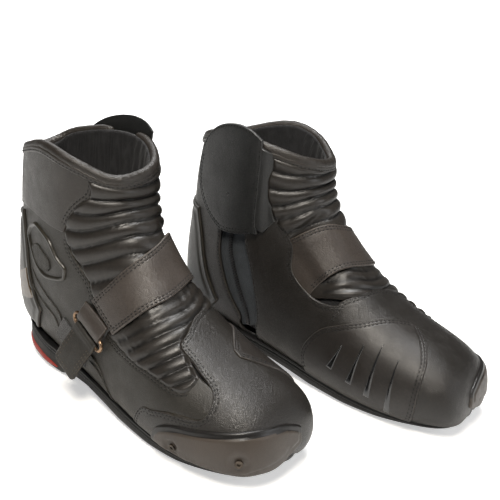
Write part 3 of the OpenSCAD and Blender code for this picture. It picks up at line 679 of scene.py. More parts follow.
# ------------------------------------------------------------------ bellows
def shin_phase(uv):
    return (uv[..., 0] + 0.08 * uv[..., 1] - 0.34 * uv[..., 1] ** 2 - 10.63) / 0.82


def instep_phase(uv):
    return (uv[..., 0] - 0.22 * uv[..., 1] - 0.265 * uv[..., 1] ** 2 - 5.14) / 0.354


def rib_rows(phase_of, panel, v0, v1, counts, u_range):
    rows = []
    u = np.linspace(*u_range, 300)
    for k in counts:
        line = []
        for v in np.linspace(v0, v1, 60):
            uv = np.stack([u, np.full_like(u, v)], -1)
            line.append([np.interp(k, phase_of(uv), u), v])
        rows.append(np.array(line))
    return rows


def keep_inside(panel, rows, margin):
    """Cuts rows to where they lie inside the piece, margin mm from its border."""
    border = np.concatenate([panel.edge(w) for w in ("bottom", "top", "left", "right")])
    cells = last_at(panel.grid)[0].reshape(-1, 3)
    out = []
    for row in rows:
        pos = last_at(row)[0]
        ok = (nearest(pos, last_at(border)[0]) > margin) & (nearest(pos, cells) < 2.2)
        if ok.sum() > 4:
            out.append(row[ok])
    return out


def bellows(name, panel, phase, rows, rise, pinch, node):
    panel.extra = ribs(phase, rise, pinch)
    # The rows lie in the rib valleys; their distance drives the painted shade of the valleys as well as the stitches.
    panel.rows = keep_inside(panel, rows, 5.0)
    panel.row_height = lambda row: panel.top + 0.1
    panel.build(name, RIBBED, "boot", node, "bellows_leather")


shin_out, shin_in = grown(SHIN_OUT, 5, (9.5, 0)), grown(SHIN_IN, 5, (9.5, 0))
shin_top = seam(-1.9, 2.1, 8, RIM - 3.5)
shin_out, shin_in = np.vstack([[[6.9, -2.8]], shin_out, shin_top[:1]]), np.vstack([[[6.9, 2.5]], shin_in, shin_top[-1:]])
shin = Panel(filled(np.array([[6.9, -2.8], [6.9, -1], [6.9, 1], [6.9, 2.5]]), shin_top, shin_out, shin_in),
             cell=1.5, top=-0.4, low=-1.8, radius=0.8)
bellows("shin_bellows", shin, shin_phase, rib_rows(shin_phase, shin, -2.4, 2.2, range(-5, 4), (6.5, 14)),
        4.4, 5, ["shin_bellows"])

instep_left = [[3.75, -1.4], [3.8, -1.75], [4.05, -2.03], [4.5, -2.14], [5.0, -2.21], [5.8, -2.41], [7, -2.56]]
instep_right = [[3.75, -1.38], [4.3, -1.15], [4.7, -0.95], [4.85, -0.55], [5.1, 0.2], [5.35, 1.2], [7, 2.35]]
instep = Panel(ruled(instep_left, instep_right), cell=1.5, top=-0.4, low=-1.8, radius=0.8)
bellows("instep_bellows", instep, instep_phase,
        rib_rows(instep_phase, instep, -2.4, 2.0, range(-5, 7), (3.0, 8.0)), 3.4, 4, ["instep_bellows"])

# ------------------------------------------------------------------ leather panels
quarter_top = [[3.85, -1.33], [3.93, -1.74], [4.16, -1.94], [4.56, -2.04], [5.02, -2.11], [5.82, -2.31],
               [6.6, -2.45], [7.5, -2.4], [8.36, -2.2], [9.65, -2.2]] + PANEL_LOW
quarter_low = [[5.4, -5], [6.9, -5], [8, -5], [8.8, -5.05], [9.15, -5.25], [9.35, -5.5], [9.4, -6.02]]
heel_back = [[9.4, -6.02], [10.5, -6.02], [11.5, -6.02], [12.7, -6.02]]
quarter_front = [[5.4, -5], [4.97, -3.2], [4.5, -2.72], [4.0, -2.48], [3.4, -2.3], [3.1, -2.1], [3.0, -1.9],
                 [3.05, -1.55], [3.4, -1.36], [3.85, -1.33]]
quarter = Panel(filled(quarter_low, quarter_top, quarter_front, heel_back), cell=2.0, top=0.8, low=-1.2)
quarter.stitch("top", 1.9, 4.4, a=0.045, b=0.62)
quarter.build("lateral_quarter", UPPER, node=["lateral_quarter"])

panel_left = [[10.8, -2.35], [11.2, -2.2], [11.48, -1.96], [11.75, -1.6], [seam_u(-1.5, RIM - 2.5), -1.5]]
ankle = Panel(filled(np.array(PANEL_LOW), seam(-1.5, -6.02, 9, RIM - 2.5), np.array(panel_left, float),
                     [[12.6, -6.02], [13.0, -6.02], [seam_u(-6.02, RIM - 2.5), -6.02]]), cell=2.0, top=1.7, low=-0.4)
ankle.stitch("left", 1.9, 4.4, a=0.1, b=0.97)
ankle.build("ankle_panel", SOFT, node=["ankle_panel"], slot="soft_leather")

vamp_tread = np.stack([np.full(13, 0.05), np.linspace(-5.9, 5.9, 13)], -1)
vamp_rear = [[5.7, -5]] + LOBE[1:] + [[4.2, -1.15], [4.72, -1.1], [4.84, -0.72], [5.05, -0.27], [5.2, 0.13], [5.44, 1.06],
                    [5.8, 1.62], [5.9, 2.1], [5.9, 3], [5.9, 4], [5.9, 5]]
vamp_left = [[0.05, -5.9], [0.9, -5.8], [1.3, -5.4], [2, -5.1], [3, -5], [4.3, -5], [5.7, -5]]
vamp_right = [[0.05, 5.9], [0.9, 5.8], [1.3, 5.4], [2, 5.1], [3, 5], [4.5, 5], [5.9, 5]]
vamp = Panel(filled(vamp_tread, vamp_rear, vamp_left, vamp_right), cell=2.0, top=1.7, low=-1.0)
vamp.stitch("top", 1.9, 4.4, a=0.02, b=0.78)
vamp.build("vamp", LEATHER, node=["vamp"])

front_low = [[5.5, 1.42], [5.55, 2.3], [5.55, 3.6], [5.55, 5]]
front_left = [[5.5, 1.42], [5.95, 1.85], [6.5, 2.1]] + SHIN_IN + [[seam_u(1.9, RIM - 2.5), 1.9]]
front_right = [[5.55, 5], [6.5, 4.95], [7.4, 4.6]] + ZIP_FRONT + [[seam_u(2.6, RIM - 2.5), 2.6]]
front = Panel(filled(front_low, seam(1.9, 2.6, 3, RIM - 2.5), front_left, front_right), cell=2.0, top=1.5, low=-1.0)
front.stitch("left", 1.9, 4.4, a=0.06, b=0.97)
front.stitch("right", 1.9, a=0.33, b=0.97)
front.build("medial_quarter", LEATHER, node=["medial_quarter"])

rear_back = [[9.4, 5.98], [10.5, 5.98], [12, 5.98], [seam_u(5.98, RIM - 2.5), 5.98]]
rear = Panel(filled([[7.6, 4.95], [8.2, 4.95], [8.8, 5.0], [9.15, 5.2], [9.35, 5.5], [9.4, 5.98]],
                    seam(3.26, 5.98, 6, RIM - 2.5), [[7.6, 4.95]] + ZIP_REAR + [[seam_u(3.26, RIM - 2.5), 3.26]], rear_back),
             cell=2.0, top=0.9, low=-1.2)
rear.stitch("left", 1.9, a=0.15, b=0.97)
rear.build("rear_quarter", LEATHER, node=["rear_quarter"])


# ------------------------------------------------------------------ collar
def sweep_rim():
    """Padded roll from the front of the zip round the heel to its rear, open only at the zip."""
    steps, around = 260, 26
    v = np.linspace(2.66, -8.74, steps)
    mid = np.stack([seam_u(v, RIM / 2), v], -1)
    pos, du, _, n = last_at(mid)
    up = du / np.linalg.norm(du, axis=1, keepdims=True)
    end = np.minimum(np.arange(steps), np.arange(steps)[::-1]) / 7.0
    taper = np.sqrt(1 - (1 - np.clip(end, 0, 1)) ** 2) * 0.75 + 0.25
    fat = 1 + 0.12 * np.exp(-((v + 0.2) / 1.3) ** 2)
    pucker = 1 + 0.02 * np.sin(np.arange(steps) * 0.9)
    a = 2 * np.pi * np.arange(around) / around
    across, tall = 4.1 * np.cos(a), (RIM / 2 + 0.9) * np.sin(a)
    across = np.where(tall < 0, across * (1 - 0.25 * (tall / (RIM / 2 + 0.9)) ** 2), across)
    size = (taper * fat * pucker)[:, None]
    pts = (pos - 1.9 * n)[:, None] + (across * size)[..., None] * n[:, None] + (tall * size)[..., None] * up[:, None]
    verts = pts.reshape(-1, 3)
    i, j = np.meshgrid(np.arange(steps - 1), np.arange(around), indexing="ij")
    k = (j + 1) % around
    faces = np.stack([i * around + j, i * around + k, (i + 1) * around + k, (i + 1) * around + j], -1).reshape(-1, 4)
    faces = faces.tolist() + [list(range(around - 1, -1, -1)),
                              [(steps - 1) * around + q for q in range(around)]]
    d = np.tile(np.abs(np.sin(a)) * 3 + 1.6, steps)
    for side in SIDES:
        add_mesh("collar_rim", side, verts, faces, SOFT, "boot", ["collar_rim"],
                 {"edge": d, "seam": np.full(len(verts), 9.0)})


sweep_rim()
band = Panel(ruled(seam(2.62, -8.7, 60, RIM + 1.7), seam(2.62, -8.7, 60, RIM - 3.8)), cell=2.2,
             top=2.7, low=0.4, radius=0.9)
band.stitch("bottom", 1.9, a=0.01, b=0.99)
band.build("collar_band", SOFT, slot="soft_leather")


def lining():
    """Quilted inside of the boot, with upright channels, ending under the collar roll."""
    low = np.stack([np.full(9, 0.4), np.linspace(-5, 5, 9)], -1)
    left = [[0.4, -5], [1.2, -4.6], [2.4, -4.3], [3.6, -4.3], [4.8, -4.3], [6, -4.3], [7.2, -4.3], [8.2, -4.4],
            [8.9, -4.9], [9.4, -5.5], [10.2, -5.93], [11.4, -5.93], [12.6, -5.93], [seam_u(-5.93, 3), -5.93]]
    at = filled(low, seam(-5.93, 5.93, 24, 3.0), left, [[p[0], -p[1]] for p in left])
    s = np.linspace(0, 1, 170)
    t = np.concatenate([np.linspace(0, 0.55, 22), np.linspace(0.57, 1, 46)])
    g = at(s, t)
    channel = np.abs(np.sin(np.pi * g[..., 1] * 3.2)) ** 0.7
    upper = ease((g[..., 0] - 7.5) / 1.5)
    h = -5.0 + 1.3 * channel * upper * -1
    outer, inner = raised(g, -4.2 + 0 * h), raised(g, h - 1.6)
    verts, faces = close_grid(outer, inner)
    for side in SIDES:
        add_mesh("lining", side, verts, faces, LINING, "boot", ["lining"])


lining()


# ------------------------------------------------------------------ closure flap and zip
flap_front = [[10, 2.24], [10.6, 2.26], [11.4, 2.25], [12.3, 2.25], [13.2, 2.25], [14.15, 2.3]]
flap_rear = [[10.2, 2.38], [10.9, 3.05], [11.5, 3.4], [12.2, 3.72], [12.9, 3.96], [13.7, 4.02]]
flap_top = [[14.15, 2.3], [14.6, 2.65], [14.78, 3.05], [14.62, 3.5], [14.2, 3.85], [13.7, 4.02]]
flap_low = [[10, 2.24], [10.03, 2.28], [10.1, 2.33], [10.2, 2.38]]
flap = Panel(filled(flap_low, flap_top, flap_front, flap_rear), cell=1.8, top=6.3, low=4.3, thick=0.4, radius=1.1)
flap.stitch("right", 2.0, 4.6, a=0.02, b=0.98)
flap.stitch("top", 2.2, a=0.05, b=0.95)
flap.stitch("left", 1.6, a=0.02, b=0.98)


def bend_across(make, from_uv, to_uv, height):
    """Makes pieces with make(), then takes them off their bodies and bakes their place into their meshes. The ends
    worked out from the two points are not used.
    """
    before = set(bpy.data.objects)
    make()
    for ob in [o for o in bpy.data.objects if o not in before and o.type == "MESH"]:
        side = "left" if ob.name.startswith("left") else "right"
        ends = [raised(np.array([uv]), np.full(1, height)) for uv in (from_uv, to_uv)]
        if side == "left":
            ends = [place_left(e) for e in ends]
        ob.parent = None
        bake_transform(ob)


bend_across(lambda: flap.build("closure_flap", FLAP_L, "flap", ["closure_flap"], "flap_leather"),
            [12.0, 2.20], [12.0, 2.52], 4.0)

base_edge = [[10.0, 1.86], [10.7, 1.90], [11.39, 2.0], [12.11, 2.04], [12.75, 1.95], [13.3, 1.9]]
base_at = ruled(np.array(base_edge), np.array([[9.9, 2.14], [10.6, 2.34], [11.4, 2.38], [12.3, 2.38], [13.2, 2.38],
                                               [13.9, 2.4]]))
base = Panel(base_at, cell=1.6, top=2.2, low=1.2, thick=1.0, radius=1.0)
base.extra = lambda uv, d: 3.7 * ease((uv[..., 1] - 1.95) / 0.24)
base.build("flap_base", FLAP_L, slot="flap_leather")


def zip_fastener():
    """Two ribbed tapes and the chain of teeth between them, in the opening of the inner side."""
    front = np.array([[p[0], p[1] - 0.10] for p in ZIP_FRONT])
    back = np.array([[p[0], p[1] + 0.10] for p in ZIP_REAR])
    centre = (curve(front, np.linspace(0, 1, 12)) * 0.42 + curve(back, np.linspace(0, 1, 12)) * 0.58)
    for name, a, b in (("zip_tape_front", front, offset(centre, -1.0, (10, 3.6))),
                       ("zip_tape_rear", offset(centre, 1.0, (10, 3.6)), back)):
        at = ruled(a, b)
        g = at(np.linspace(0, 1, 150), np.linspace(0, 1, 26))
        run = length_of(last_at(g[75])[0])
        h = -2.9 + 0.35 * np.abs(np.sin(np.pi * run / 2.3))[None, :] * np.ones(g.shape[:2])
        verts, faces = close_grid(raised(g, h), raised(g, h - 1.2))
        seam_d = np.tile(np.abs(run - (2.2 if "front" in name else run[-1] - 2.2)), (150, 1)).ravel()
        attrs = {"edge": np.full(len(verts), 9.0), "seam": np.concatenate([seam_d, np.full(len(seam_d), 9.0)])}
        node = ["zip_tape"] if "front" in name else []
        for side in SIDES:
            add_mesh(name, side, verts, faces, TAPE, "boot", node, attrs)
    line = even(centre, 400)
    pos, _, _, n = last_at(line)
    run = length_of(pos)
    at = np.arange(2.0, run[-1] - 2, 1.25)
    c = np.stack([np.interp(at, run, pos[:, k]) for k in range(3)], -1)
    nn = np.stack([np.interp(at, run, n[:, k]) for k in range(3)], -1)
    f = np.gradient(c, axis=0)
    f /= np.linalg.norm(f, axis=1, keepdims=True)
    b = np.cross(nn, f)
    verts, faces = [], []
    for k in range(len(at)):
        s = 1 if k % 2 else -1
        o = c[k] + b[k] * 0.75 * s - nn[k] * 1.5
        base_id = len(verts)
        for dz, w in ((-0.6, 1.0), (0.35, 1.0), (0.75, 0.7)):
            for sx, sy in ((-1, -1), (1, -1), (1, 1), (-1, 1)):
                taper_y = 0.75 if sx * s < 0 else 1.0
                verts.append(o + b[k] * sx * 1.5 * w + f[k] * sy * 0.52 * w * taper_y + nn[k] * dz)
        for r in range(2):
            for q in range(4):
                q2 = (q + 1) % 4
                faces.append((base_id + r * 4 + q, base_id + r * 4 + q2, base_id + r * 4 + 4 + q2, base_id + r * 4 + 4 + q))
        faces.append((base_id + 3, base_id + 2, base_id + 1, base_id))
        faces.append((base_id + 8, base_id + 9, base_id + 10, base_id + 11))
    for side in SIDES:
        add_mesh("zip_teeth", side, verts, faces, TEETH, "boot", (), flat=True)


zip_fastener()


# ------------------------------------------------------------------ moulded guards
guard_low = [[9.05, 3.75], [9.1, 4.2], [9.3, 4.8], [9.52, 5.4], [9.6, 6], [9.52, 6.6], [9.3, 7.2],
             [9.1, 7.8], [9.25, 8.42]]
guard_top = [[12.05, 4], [12.3, 4.6], [12.45, 5.3], [12.5, 6], [12.45, 6.7], [12.4, 7.4], [12.3, 8.1]]
guard_left = [[9.05, 3.75], [9.6, 3.6], [10.3, 3.58], [11.2, 3.74], [12.05, 4]]
guard_right = [[9.25, 8.42], [9.9, 8.5], [10.5, 8.45], [11.5, 8.28], [12.3, 8.1]]
guard = Panel(filled(guard_low, guard_top, guard_left, guard_right), cell=1.5, top=3.2, low=0.9, thick=0.6, radius=1.6)


def guard_shape(uv, d):
    u, v = uv[..., 0], uv[..., 1]
    knob = 6.2 * np.exp(-((u - 10.9) / 0.30) ** 2 - ((v - 6) / 0.70) ** 2)
    spine = 0.9 * np.exp(-((v - 6) / 0.55) ** 2) * ease((11.9 - u) / 0.6)
    hollow = -0.9 * (ease((d - 3.2) / 1.2) - ease((d - 7.5) / 3.0))
    chevron = -0.7 * np.exp(-((u - 10.15 + 0.35 * np.abs(v - 7.95)) / 0.05) ** 2) * ease((v - 7.3) / 0.3)
    return knob + spine + hollow + chevron


guard.extra = guard_shape
guard.build("heel_guard", GUARD, node=["heel_guard"], slot="guard_plastic")

# Painted highlight: a thin raised pale gold strip on the heel guard in place of the glint of its sheen.
glint_out = [[10.78, 7.78], [10.7, 8.1], [10.64, 8.36]]
glint_in = [[10.12, 7.96], [9.9, 8.2], [9.72, 8.44]]
glint = Panel(ruled(np.array(glint_out), np.array(glint_in)), cell=1.2, top=3.55, low=2.6, thick=0.4, radius=0.5)
glint.build("heel_reflector", GLINT, slot="guard_plastic")

vent_front = [[11.8, -3.5], [11.74, -3.31], [11.3, -3.02], [10.76, -2.76], [10.1, -2.6], [9.5, -2.49], [9.2, -2.62]]
vent_rear = [[11.8, -3.56], [11.62, -3.66], [11.3, -3.58], [10.79, -3.40], [10.3, -3.22], [9.82, -3.03], [9.3, -2.72]]
vent = Panel(ruled(np.array(vent_front), np.array(vent_rear)), cell=1.1, top=2.2, low=0.4, thick=0.8, radius=1.0)
vent.extra = lambda uv, d: -1.7 * ease((d - 3.0) / 0.9) + 0.5 * np.exp(-((d - 1.6) / 0.9) ** 2)
vent.build("ankle_cup", VENT, node=["ankle_cup"], slot="vent_plastic")
mesh_front = [[11.17, -3.40], [11.0, -3.2], [10.33, -2.88], [9.99, -2.85]]
mesh_rear = [[11.1, -3.46], [10.7, -3.34], [10.28, -3.16], [9.95, -2.93]]
net = Panel(ruled(np.array(mesh_front), np.array(mesh_rear)), cell=0.8, top=1.6, low=0.4, thick=0.4, radius=0.6)
net.extra = lambda uv, d: 0.7 * np.abs(np.sin(uv[..., 0] * 42)) * np.abs(np.sin(uv[..., 1] * 60))
net.build("ankle_mesh", MESH, slot="vent_plastic")


def piping(name, lines, radius, height, material):
    """Raised cords along lines of (u, v), tapering at both ends."""
    verts, faces = [], []
    angle = 2 * np.pi * np.arange(8) / 8
    for line in lines:
        uv = even(curve(line, np.linspace(0, 1, 60)), 60)
        pos, n = raised(uv, height), last_at(uv)[3]
        along = np.gradient(pos, axis=0)
        b = np.cross(n, along / np.linalg.norm(along, axis=1, keepdims=True))
        end = np.minimum(np.arange(60), np.arange(60)[::-1]) / 8.0
        size = radius * (0.3 + 0.7 * ease(end))[:, None, None]
        loops = pos[:, None] + size * (np.cos(angle)[:, None] * b[:, None] + np.sin(angle)[:, None] * n[:, None])
        v, f = loft(loops)
        faces += [[i + len(verts) for i in face] for face in f]
        verts += list(v)
    for side in SIDES:
        add_mesh(name, side, verts, faces, material, "boot", (), {"edge": np.full(len(verts), 0.6)})


piping("outer_piping", [[[7.33, -3.25], [6.98, -3.26], [6.58, -3.45], [6.29, -3.97]],
                        [[7.2, -3.42], [6.88, -3.42], [6.48, -3.6], [6.2, -4.1]],
                        [[8.35, -3.45], [8.7, -3.2], [9.65, -3.24], [10.51, -3.45]],
                        [[8.3, -3.62], [8.75, -3.38], [9.65, -3.42], [10.4, -3.6]]], 0.75, 1.1, UPPER)


# ------------------------------------------------------------------ toe slider
SCREWS = [[4.05, -3.55], [2.15, -3.3]]
slider_top = [[4.8, -3.85], [4.7, -3.46], [4.5, -3.1], [4.07, -2.8], [3.48, -2.6], [2.78, -2.35],
              [2.05, -2.0], [1.45, -1.5], [1.02, -0.6], [0.75, 0.3], [0.6, 1.3]]
slider_low = [[4.72, -3.95], [4.5, -4.08], [4.1, -4.12], [3.5, -4.12], [2.9, -4.12], [2.3, -4.15],
              [1.75, -4.15], [1.2, -4.6], [0.85, -5.4], [0.6, -6.6], [0.45, -8]]
slider = Panel(polar_ruled(slider_top, slider_low), cell=1.4, top=4.0, low=1.6, thick=1.0, radius=1.5)
screw_at = last_at(np.array(SCREWS))[0]


def slider_shape(uv, d):
    pos = last_at(uv)[0]
    h = 0.9 * ease((d - 4.4) / 1.2) - 0.2
    for c in screw_at:
        r = np.linalg.norm(pos - c, axis=-1)
        h = h - 2.3 * ease((7.8 - r) / 2.6)
    return h


slider.extra = slider_shape
made = slider.build("toe_slider", SLIDER, node=["toe_slider"], slot="slider_plastic")
h_, slider_d, _ = slider.heights()
m_, n_ = slider.grid.shape[:2]
row_t = np.linspace(0, 1, n_)
for ob in made:
    ob.data.materials.append(SLIDER_BAND)
    first = last_at(slider.edge("bottom"))[0]
    band_d = nearest(last_at(slider.grid)[0].reshape(-1, 3), first).reshape(m_, n_)
    for poly in ob.data.polygons:
        k = poly.vertices[0]
        if k < m_ * n_ and band_d.ravel()[k] < 4.4:
            poly.material_index = 1
        elif k >= m_ * n_:
            poly.material_index = 1

# ------------------------------------------------------------------ shift pad
pad_front = [[3.15, 4.1], [2.98, 3.4], [2.88, 2.7], [2.8, 2], [2.85, 1.4], [3.15, 0.75], [3.6, 0.2]]
pad_rear = [[6.15, 4.1], [6.35, 3.5], [6.33, 3], [6.05, 2.5], [5.5, 2.05], [4.8, 1.45], [3.85, 0.25]]
GROOVES = [((5.26, 2.43), (5.48, 3.20)), ((4.64, 2.04), (4.87, 3.29)), ((4.13, 1.69), (4.33, 3.42)),
           ((3.59, 1.82), (3.77, 3.80))]
pad = Panel(ruled(np.array(pad_front), np.array(pad_rear)), cell=1.5, top=3.3, low=1.6, thick=1.0, radius=1.3)
pad.stitch("bottom", 1.9, 4.4, a=0.03, b=0.99)
pad.stitch("top", 1.9, 4.4, a=0.03, b=0.99)


pad.build("shift_pad", PAD, node=["shift_pad"], slot="pad_rubber")
for k, ((u0, v0), (u1, v1)) in enumerate(GROOVES):
    share = np.linspace(0, 1, 7)
    half = 0.018 + 0.075 * share**1.3
    line_u, line_v = mix(u0, u1, share), mix(v0, v1, share)
    blade = Panel(ruled(np.stack([line_u - half, line_v], -1), np.stack([line_u + half, line_v], -1)), cell=1.0,
                  top=3.9, low=2.9, thick=0.4, radius=1.4)
    blade.build(f"shift_pad_groove_{k + 1}", GROOVE, slot="pad_rubber")

loop = Panel(ruled(np.array([[8.5, -3.15], [7.9, -3.2], [7.3, -3.25]]), np.array([[8.5, -3.7], [7.9, -3.85], [7.3, -3.8]])),
             cell=1.2, top=2.0, low=0.9, thick=0.4, radius=0.7)
loop.build("loop_patch", LOOP, node=["loop_patch"], slot="loop_textile")


# ------------------------------------------------------------------ strap, ring sleeve and pull tab
def unit(a):
    return a / np.linalg.norm(a)


RING_H, BAR_R, RING_GAP, RING_HALF = 5.0, 1.5, 9.0, 17.0
ring_a, ring_b = raised([8.1, -2.72], RING_H), raised([6.85, -2.68], RING_H)
RZ = last_at(np.array([7.5, -2.8]))[3]
RX = unit((ring_a - ring_b) - np.dot(ring_a - ring_b, RZ) * RZ)
RY = np.cross(RZ, RX)
RC = (ring_a + ring_b) / 2


def in_ring(x, y, z):
    """Points from the ring's frame: x along its bars, y towards the heel, z outwards."""
    x, y, z = np.broadcast_arrays(x, y, z)
    return RC + x[..., None] * RX + y[..., None] * RY + z[..., None] * RZ


def skin_z(x, y):
    """Height of the leather below the ring's plane, in the ring's frame, at (x, y)."""
    uv = np.tile(np.array([7.45, -2.75]), (x.size, 1)).reshape(x.shape + (2,))
    goal = in_ring(x, y, 0 * x)
    for _ in range(6):
        pos, du, dv, n = last_at(uv)
        gap = goal - pos
        gap = gap - (gap @ RZ)[..., None] * RZ
        jac = np.stack([du - (du @ RZ)[..., None] * RZ, dv - (dv @ RZ)[..., None] * RZ], -1)
        uv = uv + np.einsum("...ij,...j->...i", np.linalg.pinv(jac), gap)
    return (last_at(uv)[0] - RC) @ RZ


def rounded(x, half, r):
    """1 in the middle of a width, falling in a quarter round to 0 at its edges."""
    e = np.clip((half - np.abs(x)) / r, 0, 1)
    return np.sqrt(1 - (1 - e) ** 2)


def edge_steps(half, n):
    fine = np.array([0, 0.1, 0.3, 0.6, 1.0, 1.5, 2.1])
    return np.concatenate([-half + fine, np.linspace(-half + 2.8, half - 2.8, n), half - fine[::-1]])


strap_top = [[9.15, 2.5], [8.75, 1.8], [8.3, 1.15], [7.9, 0.5], [7.62, -0.2], [7.5, -0.95], [7.65, -1.75], [7.9, -2.35]]
strap_low = [[6.95, 2.7], [6.8, 2], [6.5, 1.35], [6.2, 0.7], [6, 0], [5.92, -0.8], [6.25, -1.7], [6.66, -2.35]]
strap = Panel(ruled(np.array(strap_top), np.array(strap_low)), cell=2.0, top=4.9, low=3.0, thick=0.5, radius=1.2)
strap.extra = lambda uv, d: -4.4 * ease((uv[..., 1] - 1.5) / 0.4) + 0.25 * ease((d - 6) / 4)
strap.stitch("bottom", 2.0, 4.4, a=0.2, b=0.985)
strap.stitch("top", 2.0, 4.4, a=0.2, b=0.985)
strap.stitch("right", 2.0, 4.4, a=0.1, b=0.9)


bend_across(lambda: strap.build("instep_strap", STRAP_L, "strap", ["instep_strap"], "strap_leather"),
            [7.75, 2.12], [7.65, 1.72], 2.5)


def strap_sleeve():
    """Smooth fold of the strap round the ring's front bar."""
    half = RING_HALF - 0.4
    loops = []
    for x in edge_steps(half, 24):
        f = 0.35 + 0.65 * rounded(x, half, 1.3)
        y = np.linspace(-14.6, -1.2, 10)
        z_skin = skin_z(np.full(10, x), y)
        z_top = mix(z_skin + 5.6, 2.9 * f + 0 * y, ease((y + 13) / 11)) + 0.3 * np.sin(np.pi * (y + 14.6) / 13.4) - 1.1 * (1 - f)
        z_low = np.minimum(mix(z_skin + 3.1, -2.0 + 0 * y, ease((y + 13) / 11)) + 1.0 * (1 - f), z_top - 0.4)
        arc = np.radians(np.linspace(75, -75, 11))
        loop = [(a, b) for a, b in zip(y, z_top)]
        loop += [(3.0 * f * math.cos(w), 2.9 * f * math.sin(w)) for w in arc]
        loop += [(a, b) for a, b in zip(y[::-1], z_low[::-1])]
        q = np.array(loop)
        loops.append(in_ring(np.full(len(q), x), q[:, 0], q[:, 1]))
    verts, faces = loft(np.array(loops))
    x = np.repeat(edge_steps(half, 24), len(loops[0]))
    attrs = {"edge": half - np.abs(x), "seam": np.full(len(verts), 9.0)}
    for side in SIDES:
        add_mesh("strap_sleeve", side, verts, faces, STRAP_L, "strap", (), attrs)


strap_sleeve()


def pull_tab():
    """Leather tab folded round the ring's rear bar, lying back along the outer side."""
    half, length, corner = RING_HALF - 1.4, 38.0, 5.0
    ys = np.concatenate([np.linspace(1.5, length - 2.4, 22), length - np.array([1.7, 1.1, 0.6, 0.3, 0.1, 0])])
    z_mid = lambda y: 0.42 * y - 0.0045 * y * y
    rows = edge_steps(half, 22)
    loops, edge_d = [], []
    for x in rows:
        f = 0.3 + 0.7 * rounded(x, half, 1.2)
        cut = corner - math.sqrt(max(0, corner**2 - max(0, abs(x) - (half - corner)) ** 2))
        y = np.minimum(ys, length) * (length - cut) / length
        tip = 0.3 + 0.7 * np.sqrt(1 - (1 - np.clip((length - cut - y) / 1.2, 0, 1)) ** 2)
        body = np.minimum(f, tip)
        top, low = z_mid(y) + 1.2 * body, z_mid(y) - 1.2 * body
        top = top + 1.5 * f * np.exp(-(y / 3.2) ** 2)
        low = low - 1.5 * f * np.exp(-(y / 3.2) ** 2)
        arc = np.radians(np.linspace(-75, -285, 13))
        loop = [(a, b) for a, b in zip(y[::-1], low[::-1])]
        loop += [(2.9 * f * math.cos(w), 2.8 * f * math.sin(w)) for w in arc]
        loop += [(a, b) for a, b in zip(y, top)]
        q = np.array(loop)
        loops.append(in_ring(np.full(len(q), x), q[:, 0] + RING_GAP, q[:, 1]))
        edge_d.append(np.minimum(half - abs(x), length - cut - q[:, 0]))
    loops = np.array(loops)
    verts, faces = loft(loops)
    lines = []
    for d in (2.1, 4.7):
        h, r, end = half - d, max(0.6, corner - d), length - d
        w = np.radians(np.linspace(0, 90, 8))
        x = np.concatenate([np.full(20, h), h - r + r * np.cos(w), np.linspace(h - r, -h + r, 20),
                            -h + r - r * np.sin(w), np.full(20, -h)])
        y = np.concatenate([np.linspace(5, end - r, 20), end - r + r * np.sin(w), np.full(20, end),
                            end - r + r * np.cos(w), np.linspace(end - r, 5, 20)])
        lines.append(in_ring(x, y + RING_GAP, z_mid(y) + 1.15))
    seam_d = nearest(verts, np.concatenate(lines))
    attrs = {"edge": np.concatenate(edge_d), "seam": seam_d}
    for side in SIDES:
        add_mesh("pull_tab", side, verts, faces, TAB_L, "tab", ["pull_tab"], attrs)
    dashes("pull_tab_stitches", lines, [np.tile(RZ, (len(line), 1)) for line in lines], "tab",
           material=THREAD["brown"])


pull_tab()

for side in SIDES:
    for part, material in (("zip_slider", ZIP_METAL), ("zip_puller", PULLER_L)):
        node = frame["nodes"][f"{side}_{part}"]
        node.data.materials.clear()
        node.data.materials.append(material)
        bevel = node.modifiers.new("soft_edges", "BEVEL")
        bevel.width, bevel.segments, bevel.limit_method = 0.35 * MM, 2, "ANGLE"


# ------------------------------------------------------------------ sole
GROUND = np.array([[-20, 30], [-2, 15], [6, 7], [14, 0], [66, 0], [76, 4], [92, 7], [110, 8], [135, 5],
                   [160, 1.5], [200, 0], [235, 1.5], [260, 4], [285, 7.5], [320, 14]], float)
WEDGE_LOW = np.array([[4, 15], [12, 8.5], [22, 5], [40, 4], [64, 4.5]], float)
WEDGE_TOP = np.array([[4, 17], [8, 17.5], [20, 13], [40, 10], [64, 8.5]], float)
bottom_u = np.linspace(1.2, 9.2, 120)
bottom = last_at(np.stack([bottom_u, np.full(120, 6.0)], -1))[0]
order = np.argsort(bottom[:, 1])


def last_low(y):
    return np.interp(y, bottom[order, 1], bottom[order, 2])


def ground(y):
    return np.interp(REST_F - y, GROUND[:, 0], GROUND[:, 1])


